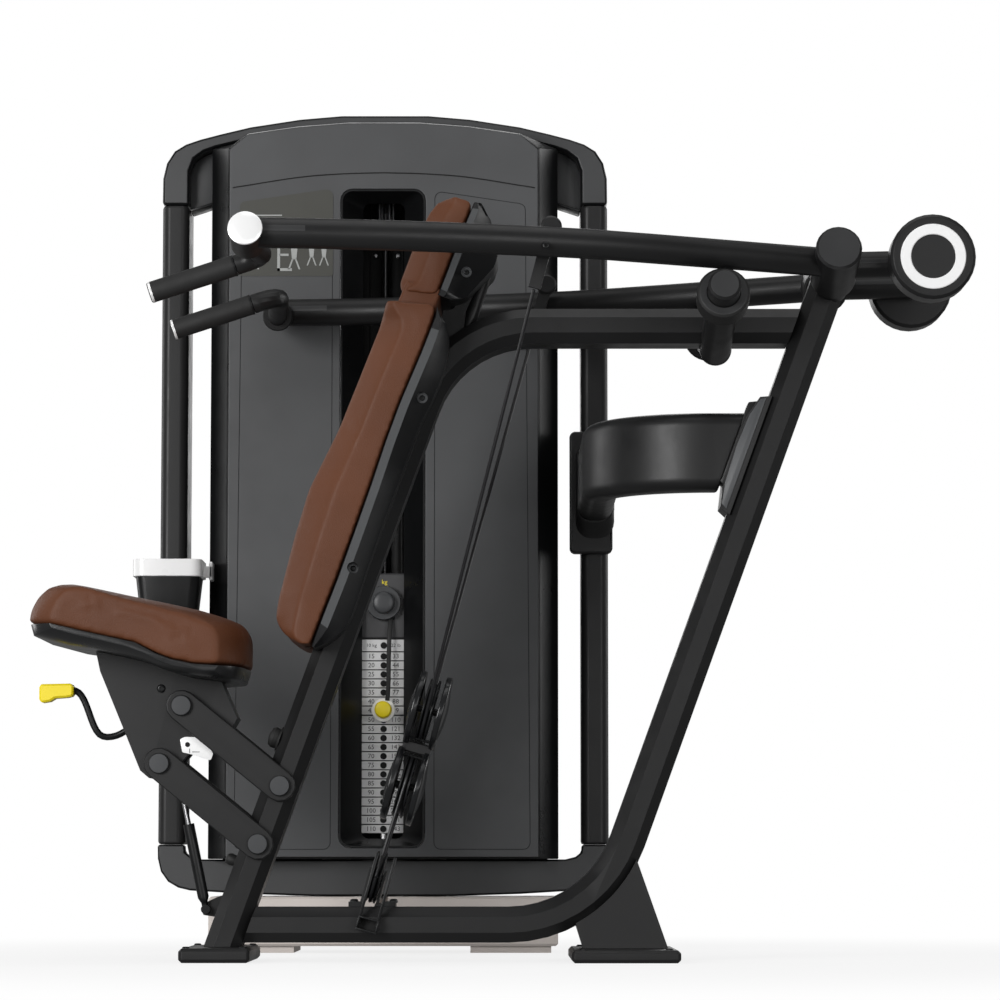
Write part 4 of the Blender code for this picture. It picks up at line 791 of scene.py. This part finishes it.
def figure(mesh, x, z, size, y0, y1):
    """Plain standing symbol: round head, trunk, raised arms and legs."""
    def spot(a, b):
        return (x + a * size * 0.001, z + b * size * 0.001)

    turns = [2 * math.pi * i / 14 for i in range(14)]
    head = [spot(4.2 * math.cos(t), 31 + 4.2 * math.sin(t)) for t in turns]
    prism(head, y0, y1, mesh=mesh)
    trunk = [(-6, 25), (6, 25), (4, 4), (-4, 4)]
    arms = [[(-6, 25), (-15, 34), (-12.5, 36), (-3, 27)], [(6, 25), (3, 27), (12.5, 36), (15, 34)]]
    legs = [[(-4, 5), (-1, 5), (-8, -14), (-11, -14)], [(4, 5), (11, -14), (8, -14), (1, 5)]]
    for outline in [trunk] + arms + legs:
        prism([spot(*p) for p in outline], y0, y1, mesh=mesh)


def rear_details():
    """Air slots, drawn as flat near-black strips of painted shade, and screws on the back of the tower."""
    slots = bmesh.new()
    for row in range(9):
        z = 1.150 + row * 0.016
        outline = rounded([(TOWER_X - 0.09, z - 0.003), (TOWER_X + 0.09, z - 0.003),
                           (TOWER_X + 0.09, z + 0.003), (TOWER_X - 0.09, z + 0.003)], 0.0029, 4)
        # Each slot is a flat near-black strip of painted shade on the rear face.
        prism(outline, 0.7994, 0.8004, mesh=slots)
    add("rear_air_slot_shades", slots, "opening_shade_and_seam", "frame")
    screws = bmesh.new()
    for x in (-0.490, 0.076):
        for z in (0.22, 0.62, 1.02, 1.36):
            bolt(screws, (x, 0.7965, z), (0, 1, 0), 0.0065, 0.0030)
    add("rear_cover_screws", screws, "steel", "frame")


def text_mesh(mesh, words, x, y, z, height):
    """Adds flat numerals that face the front, centred on a point."""
    data = bpy.data.curves.new("numerals", "FONT")
    data.body = words
    data.size = height * 1.4
    data.align_x, data.align_y = "CENTER", "CENTER"
    data.extrude = 0.0001
    data.resolution_u = 2
    thing = bpy.data.objects.new("numerals", data)
    thing.matrix_world = Matrix.Translation((x, y, z)) @ Matrix.Rotation(math.pi / 2, 4, "X")
    bpy.context.scene.collection.objects.link(thing)
    bpy.context.view_layer.update()
    flat = bpy.data.meshes.new_from_object(thing.evaluated_get(bpy.context.evaluated_depsgraph_get()))
    flat.transform(thing.matrix_world)
    mesh.from_mesh(flat)
    bpy.data.objects.remove(thing)
    bpy.data.meshes.remove(flat)


PLATES = 21
LIFTED_FROM = 13
STACK_BOTTOM = 0.2095
PITCH = 0.0161
PIN_Z = STACK_BOTTOM + LIFTED_FROM * PITCH + 0.0005 + PITCH / 2
STRIP_Y = 0.6044


def weight_plates():
    """Separate plates with a bevel, a number strip and a selector opening each, the opening drawn as a flat
    near-black disc of painted shade.
    """
    for body, node, first, last in (("frame", "resting_plates", 0, LIFTED_FROM),
                                    ("moving_stack", "lifted_plates", LIFTED_FROM, PLATES)):
        plates, strips, hole_shades, ink = (bmesh.new() for _ in range(4))
        for row in range(first, last):
            top_row = row == PLATES - 1
            low = STACK_BOTTOM + row * PITCH + (0.0005 if row >= LIFTED_FROM else 0.0)
            high = 0.5538 if top_row else low + PITCH - 0.0009
            outline = [(-0.330, low), (-0.084, low), (-0.084, high), (-0.330, high)]
            prism(outline, 0.6055, 0.7145, mesh=plates)
            z = (low + high) / 2
            block(-0.2470, -0.1700, STRIP_Y, STRIP_Y + 0.0012, low + 0.0006, high - 0.0004, strips)
            # Painted shade: a flat near-black disc on the plate face, with no cut behind it.
            lathe((TOWER_X, 0.6030, z), (0, 1, 0), [(0, 0), (0, 0.0058), (0.0022, 0.0058), (0.0022, 0)],
                  18, hole_shades)
            kilos = 10 + 5 * (PLATES - 1 - row)
            pounds = int(round(kilos * 2.2046))
            size = 0.0062 if top_row else 0.0084
            for value, unit, x in ((kilos, " kg", -0.2290), (pounds, " lb", -0.1855)):
                text_mesh(ink, "%d%s" % (value, unit if top_row else ""), x, 0.6041, z, size)
        stack = add(node + "_cast", plates, "stack_steel", body, bevel=0.0012, segments=2)
        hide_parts(node)
        add(node + "_strips", strips, "label", body, bevel=0.0003, segments=1)
        add(node + "_holes", hole_shades, "opening_shade_and_seam", body)
        add(node + "_numbers", ink, "ink", body, smooth=60)
    rod = lathe((TOWER_X, 0.6050, 0.2000), (0, 0, 1), [(0, 0), (0, 0.004), (0.0090, 0.004), (0.0090, 0)], 16)
    add("selector_rod_end", rod, "chrome", "frame")


DIAL_Z = 0.618
DIAL_RIBS = 20


def stack_controls():
    """Dial face, its ring, the pin's collar and head, and the strap that keeps the pin."""
    face = lathe((TOWER_X, 0.5700, DIAL_Z), (0, -1, 0),
                 [(0, 0), (0, 0.0182), (0.0006, 0.0178), (0.0020, 0.0150), (0.0026, 0.008), (0.0028, 0)], 40)
    add("dial_face", face, "pin_grey", "increment_dial")
    grip = bmesh.new()
    for index in range(DIAL_RIBS):
        angle = 2 * math.pi * index / DIAL_RIBS
        spot = Vector((TOWER_X + 0.0302 * math.cos(angle), 0.5870, DIAL_Z + 0.0302 * math.sin(angle)))
        lathe(spot, (0, 1, 0), [(0, 0), (0, 0.0012), (0.015, 0.0012), (0.015, 0)], 8, grip)
    add("dial_ribs", grip, "dark_trim", "increment_dial")
    head = lathe((TOWER_X, 0.5540, PIN_Z), (0, -1, 0),
                 [(0, 0), (0, 0.0142), (0.002, 0.0128), (0.0034, 0.008), (0.0038, 0)], 36)
    add("pin_head", head, "yellow", "weight_pin")
    collar = lathe((TOWER_X, 0.5872, PIN_Z), (0, 1, 0),
                   [(0, 0.0152), (0, 0.0200), (0.001, 0.0208), (0.0095, 0.0208), (0.0105, 0.0200),
                    (0.0105, 0.0152)], 36, closed=True)
    add("pin_collar", collar, "silver", "weight_pin")
    mark = bmesh.new()
    text_mesh(mark, "kg", -0.2060, 0.6027, 0.6560, 0.0080)
    block(-0.2130, -0.1990, 0.6024, 0.6031, 0.6475, 0.6484, mark)
    add("head_plate_mark", mark, "yellow", "moving_stack", smooth=60)
    strap = smooth_line([(-0.1945, 0.5960, 0.5900), (-0.1965, 0.5880, 0.5600), (-0.1975, 0.5850, 0.5200),
                         (-0.1980, 0.5850, 0.4780), (-0.1990, 0.5860, 0.4560), (-0.2000, 0.5868, 0.4440)], 6)
    add("pin_strap", tube(strap, 0.0040, 10, flat=0.45, side=(1, 0, 0)), "rubber", "moving_stack")
    knob = bmesh.new()
    bolt(knob, (-0.1930, 0.6035, 0.5930), (0, -1, 0), 0.0062, 0.0080)
    add("strap_anchor", knob, "dark_trim", "moving_stack")


def bottle_holder():
    """Cup with rounded square plan under a pale band, on a bracket."""
    def squares(levels, closed=False):
        """Square rings with rounded corners, each given by its half width, corner radius and height."""
        mesh = bmesh.new()
        rings = []
        for half, radius, z in levels:
            outline = rounded([(-half, -half), (half, -half), (half, half), (-half, half)], radius, 6)
            rings.append([mesh.verts.new((-0.5835 + x, 0.5350 + y, z)) for x, y in outline])
        return bridge(mesh, rings, closed)

    walls = [(0.0430, 0.016, 0.566), (0.0465, 0.016, 0.569), (0.0560, 0.018, 0.6570),
             (0.0565, 0.018, 0.6845), (0.0535, 0.016, 0.6845), (0.0520, 0.016, 0.657),
             (0.0430, 0.014, 0.571)]
    cup = add("bottle_cup_moulding", squares(walls), "dark_trim", "frame", smooth=25)
    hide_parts("bottle_cup")
    band = [(0.0580, 0.018, 0.6575), (0.0610, 0.020, 0.6585), (0.0610, 0.020, 0.6870),
            (0.0600, 0.019, 0.6880), (0.0570, 0.017, 0.6880), (0.0566, 0.017, 0.6575)]
    add("bottle_band", squares(band, closed=True), "silver", "frame", smooth=25)
    tab = bmesh.new()
    block(-0.5250, -0.5080, 0.5300, 0.5420, 0.6590, 0.6790, tab)
    block(-0.5140, -0.5080, 0.5300, 0.5960, 0.6550, 0.6870, tab)
    block(-0.6000, -0.5670, 0.5940, 0.5998, 0.6550, 0.6860, tab)
    add("bottle_bracket", tab, "silver", "frame", bevel=0.0015)


# Frame details ----------
def link_caps():
    """Pale discs over the four link pivots, on both sides."""
    for name, body, spots in (("carriage_pin_caps", "seat", ((-0.513, 0.410), (-0.548, 0.317))),
                              ("post_pin_caps", "frame", ((-0.354, 0.281), (-0.389, 0.188)))):
        mesh = bmesh.new()
        for x, z in spots:
            for side in (-1, 1):
                lathe((x, side * 0.0695, z), (0, side, 0),
                      [(0, 0), (0, 0.0155), (0.0008, 0.0155), (0.0014, 0.0148), (0.0016, 0.008), (0.0016, 0)],
                      40, mesh)
        add(name, mesh, "pin_grey", body)


def arm_details(label, side):
    """End caps, bolts, a collar on the grip and the pale ring set in the counterweight."""
    body = label + "_press_arm"
    tip = Vector((0, side * math.cos(math.radians(10)), math.sin(math.radians(10))))
    cross = Vector((-0.388, side * 0.443, 1.1135))
    cap = lathe(cross + tip * 0.0334, tip,
                [(0, 0), (0, 0.0262), (0.0012, 0.0268), (0.0034, 0.0262), (0.0050, 0.0225),
                 (0.0062, 0.014), (0.0066, 0)], 48)
    add(label + "_arm_cap", cap, "chrome", body)
    elbow = Vector((-0.374, side * 0.220, 1.1165))
    end = Vector((-0.556, side * 0.220, 1.0570))
    forward = (end - elbow).normalized()
    cap = lathe(end - forward * 0.0062, forward,
                [(0, 0), (0, 0.0166), (0.0010, 0.0172), (0.0042, 0.0172), (0.0056, 0.0150),
                 (0.0060, 0.010), (0.0060, 0)], 36)
    add(label + "_grip_cap", cap, "chrome", body)
    ring = lathe((0.690, side * 0.1938, 1.1195), (0, side, 0),
                 [(0, 0.0354), (0, 0.0522), (0.0036, 0.0522), (0.0046, 0.0510), (0.0046, 0.0366),
                  (0.0036, 0.0354)], 64, closed=True)
    add(label + "_weight_ring", ring, "silver", body)
    bolts = bmesh.new()
    bolt(bolts, (0.690, side * 0.1434, 1.1195), (0, -side, 0), 0.0095, 0.0040)
    bolt(bolts, (0.071, side * 0.3800, 1.108), (0, side, 0), 0.0062, 0.0040)
    add(label + "_arm_bolts", bolts, "dark_trim", body)
    collar = lathe(elbow + forward * 0.0488, forward,
                   [(0, 0.0165), (0, 0.0178), (0.003, 0.0178), (0.003, 0.0165)], 24, closed=True)
    add(label + "_grip_collar", collar, "dark_trim", body)


def pulley_covers():
    """Domed discs with a raised rim outside each pulley."""
    domes, rims = bmesh.new(), bmesh.new()
    centres = [Vector((-0.117, 0, 0.404)), Vector((-0.154, 0, 0.282))]
    for centre in centres:
        for side in (-1, 1):
            way = CABLE_ACROSS * side
            lathe(centre + way * 0.0188, way,
                  [(0, 0), (0, 0.0548), (0.0036, 0.0540), (0.0088, 0.0400), (0.0122, 0.0190),
                   (0.0130, 0.0080), (0.0130, 0)], 48, domes)
            lathe(centre + way * 0.0165, way,
                  [(0, 0.0530), (0, 0.0600), (0.0015, 0.0612), (0.0080, 0.0612), (0.0098, 0.0596),
                   (0.0098, 0.0560), (0.0060, 0.0530)], 56, rims, closed=True)
    add("pulley_domes", domes, "gloss_black", "floating_block")
    add("pulley_rims", rims, "gloss_black", "floating_block", bevel=0.0008)
    middle = (centres[0] + centres[1]) / 2
    bars = bmesh.new()
    for offset in (-0.0150, 0.0150):
        for y in (-0.016, 0.016):
            spot = middle + CABLE_UP * offset + Vector((0, y, 0))
            tube([spot - CABLE_ACROSS * 0.0185, spot + CABLE_ACROSS * 0.0185], 0.0022, 10, bars)
    add("pulley_tie_bars", bars, "dark_trim", "floating_block")


def anchor_bracket():
    """Saddle feet, bolts and the open end of the lower cable bracket, whose inside is a flat near-black sheet
    of painted shade.
    """
    mesh = bmesh.new()
    for x in (-0.244, -0.190):
        block(x, x + 0.022, -0.034, 0.034, 0.0875, 0.0955, mesh)
    for x in (-0.2360, -0.1720):
        bolt(mesh, (x, -0.020, 0.0935), (0, 0, 1), 0.0065, 0.0060)
        bolt(mesh, (x, 0.020, 0.0935), (0, 0, 1), 0.0065, 0.0060)
    add("bracket_bolts", mesh, "dark_trim", "frame")
    lean, across = CABLE_UP, CABLE_ACROSS
    foot = Vector((-0.2125, -0.0590, 0.0580))
    straps, end = bmesh.new(), bmesh.new()
    for side in (-1, 1):
        low = foot + across * 0.0150 * side
        high = low + lean * 0.116
        thick = across * 0.0022
        outline = [low - thick, low + thick, high + thick, high - thick]
        prism([p.xz for p in outline], -0.0640, -0.0525, mesh=straps)
    add("bracket_straps", straps, "dark_trim", "frame", bevel=0.0006)
    for a, b, width in ((-0.0172, 0.0172, (-0.010, -0.0075)), (-0.0172, 0.0172, (0.0095, 0.012)),
                        (-0.0172, -0.0147, (-0.0075, 0.0095)), (0.0147, 0.0172, (-0.0075, 0.0095))):
        corners = ((a, width[0]), (b, width[0]), (b, width[1]), (a, width[1]))
        prism([(foot + across * u + lean * v).xz for u, v in corners], -0.0720, -0.0508, mesh=end)
    add("bracket_end", end, "dark_trim", "frame", bevel=0.0005)
    corners = ((-0.0148, -0.0076), (0.0148, -0.0076), (0.0148, 0.0096), (-0.0148, 0.0096))
    inside = [(foot + across * u + lean * v).xz for u, v in corners]
    # A near-black sheet paints the shade inside the open end.
    add("bracket_end_inside_shade", prism(inside, -0.0525, -0.0510), "opening_shade_and_seam", "frame")


def seat_bumpers():
    """Rubber cones on flanges that end the seat travel."""
    for node, height, spots, size in (("upper_seat_stop", 0.347, (-0.0205, 0.0205), 1.4),
                                      ("lower_seat_stop", 0.150, (0.0255,), 0.82)):
        mesh = bmesh.new()
        face = Vector((-0.2775 + (height - 0.488) * math.tan(LEAN), 0, height)) + POST_OUT * 0.0287
        for y in spots:
            place = face + Vector((0, y, 0))
            lathe(place, POST_OUT,
                  [(0, 0), (0, 0.0145 * size), (0.0026, 0.0145 * size), (0.0032, 0.0110 * size),
                   (0.0110, 0.0122 * size), (0.0165, 0.0100 * size), (0.0188, 0.0055), (0.0192, 0)],
                  28, mesh)
        bumper = add(node + "_bumper", mesh, "rubber", "frame", smooth=40)
        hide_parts(node)


def seat_details():
    """Carriage screws and the height plate with its opening, a flat near-black disc of painted shade, and its
    number.
    """
    mesh = bmesh.new()
    for side in (-1, 1):
        bolt(mesh, (-0.547, side * 0.0448, 0.438), (0, side, 0), 0.0070, 0.0036)
    add("carriage_screws", mesh, "dark_trim", "seat")
    outline = rounded([(-0.516, 0.356), (-0.512, 0.335), (-0.494, 0.331), (-0.466, 0.322), (-0.462, 0.333),
                       (-0.478, 0.3595), (-0.508, 0.360)], 0.003, 3)
    add("height_plate", prism(outline, -0.0500, -0.0462), "silver", "seat", bevel=0.0006)
    # The plate's opening is a flat near-black disc of painted shade.
    dot = lathe((-0.5035, -0.0506, 0.3475), (0, 1, 0), [(0, 0), (0, 0.0040), (0.001, 0.0040), (0.001, 0)], 20)
    add("height_plate_hole_shade", dot, "opening_shade_and_seam", "seat")
    mark = bmesh.new()
    text_mesh(mark, "1", -0.5000, -0.0503, 0.3370, 0.0075)
    block(-0.4960, -0.4840, -0.0505, -0.0499, 0.3352, 0.3362, mark)
    add("height_plate_mark", mark, "ink", "seat", smooth=60)


def frame_bolts():
    """Anchor bolts on the feet."""
    mesh = bmesh.new()
    for x in (-0.4980, -0.4070):
        for y in (-0.125, 0.125):
            bolt(mesh, (x, y, 0.0226), (0, 0, 1), 0.0060, 0.0030)
    for y in (-0.140, 0.140):
        for x in (0.132, 0.268):
            bolt(mesh, (x, y, 0.0202), (0, 0, 1), 0.0060, 0.0030)
    add("foot_bolts", mesh, "dark_trim", "frame")


def tie_fairing():
    """Lip where the tie arm meets its clamp, and the grey face on the rear post."""
    lean, out = POST_UP, POST_OUT
    centre = Vector((0.290 + (0.813 - 0.423) * math.tan(LEAN), 0, 0.813)) + out * 0.0285
    outline = []
    for along, depth in ((0.092, 0.004), (-0.101, 0.004), (-0.096, 0.0135), (-0.060, 0.0205), (0.0, 0.0230),
                         (0.055, 0.0205), (0.086, 0.0125)):
        outline.append((centre + lean * along + out * depth).xz)
    add("tie_plate_face", prism(outline, -0.0478, -0.0462), "lens_grey", "frame", bevel=0.0006)
    seat = [(centre + lean * along + out * depth).xz
            for along, depth in ((-0.068, 0.012), (-0.060, 0.0285), (0.078, 0.0285), (0.086, 0.012))]
    add("tie_arm_seat", prism(seat, -0.0290, 0.0290), "black_paint", "frame",
        bevel=0.002)
    rings = []
    mesh = bmesh.new()
    for y, half_x, top, low in ((0.5640, 0.0345, 0.8900, 0.7300), (0.5560, 0.0335, 0.8895, 0.7420),
                                (0.5400, 0.0318, 0.8893, 0.7560)):
        outline = rounded([(-half_x, low), (half_x, low), (half_x, top), (-half_x, top)],
                          [0.028, 0.028, 0.012, 0.012], 6)
        rings.append([mesh.verts.new((0.1685 + x, y, z)) for x, z in outline])
    add("tie_arm_lip", bridge(mesh, rings), "black_paint", "frame", bevel=0.002)


make_camera()
make_studio()
make_floor()
dress_nodes()
upholstery()
shells()
tower_trim()
weight_plates()
stack_controls()
bottle_holder()
link_caps()
for label, side in SIDES:
    arm_details(label, side)
pulley_covers()
anchor_bracket()
seat_details()
seat_bumpers()
frame_bolts()
tie_fairing()
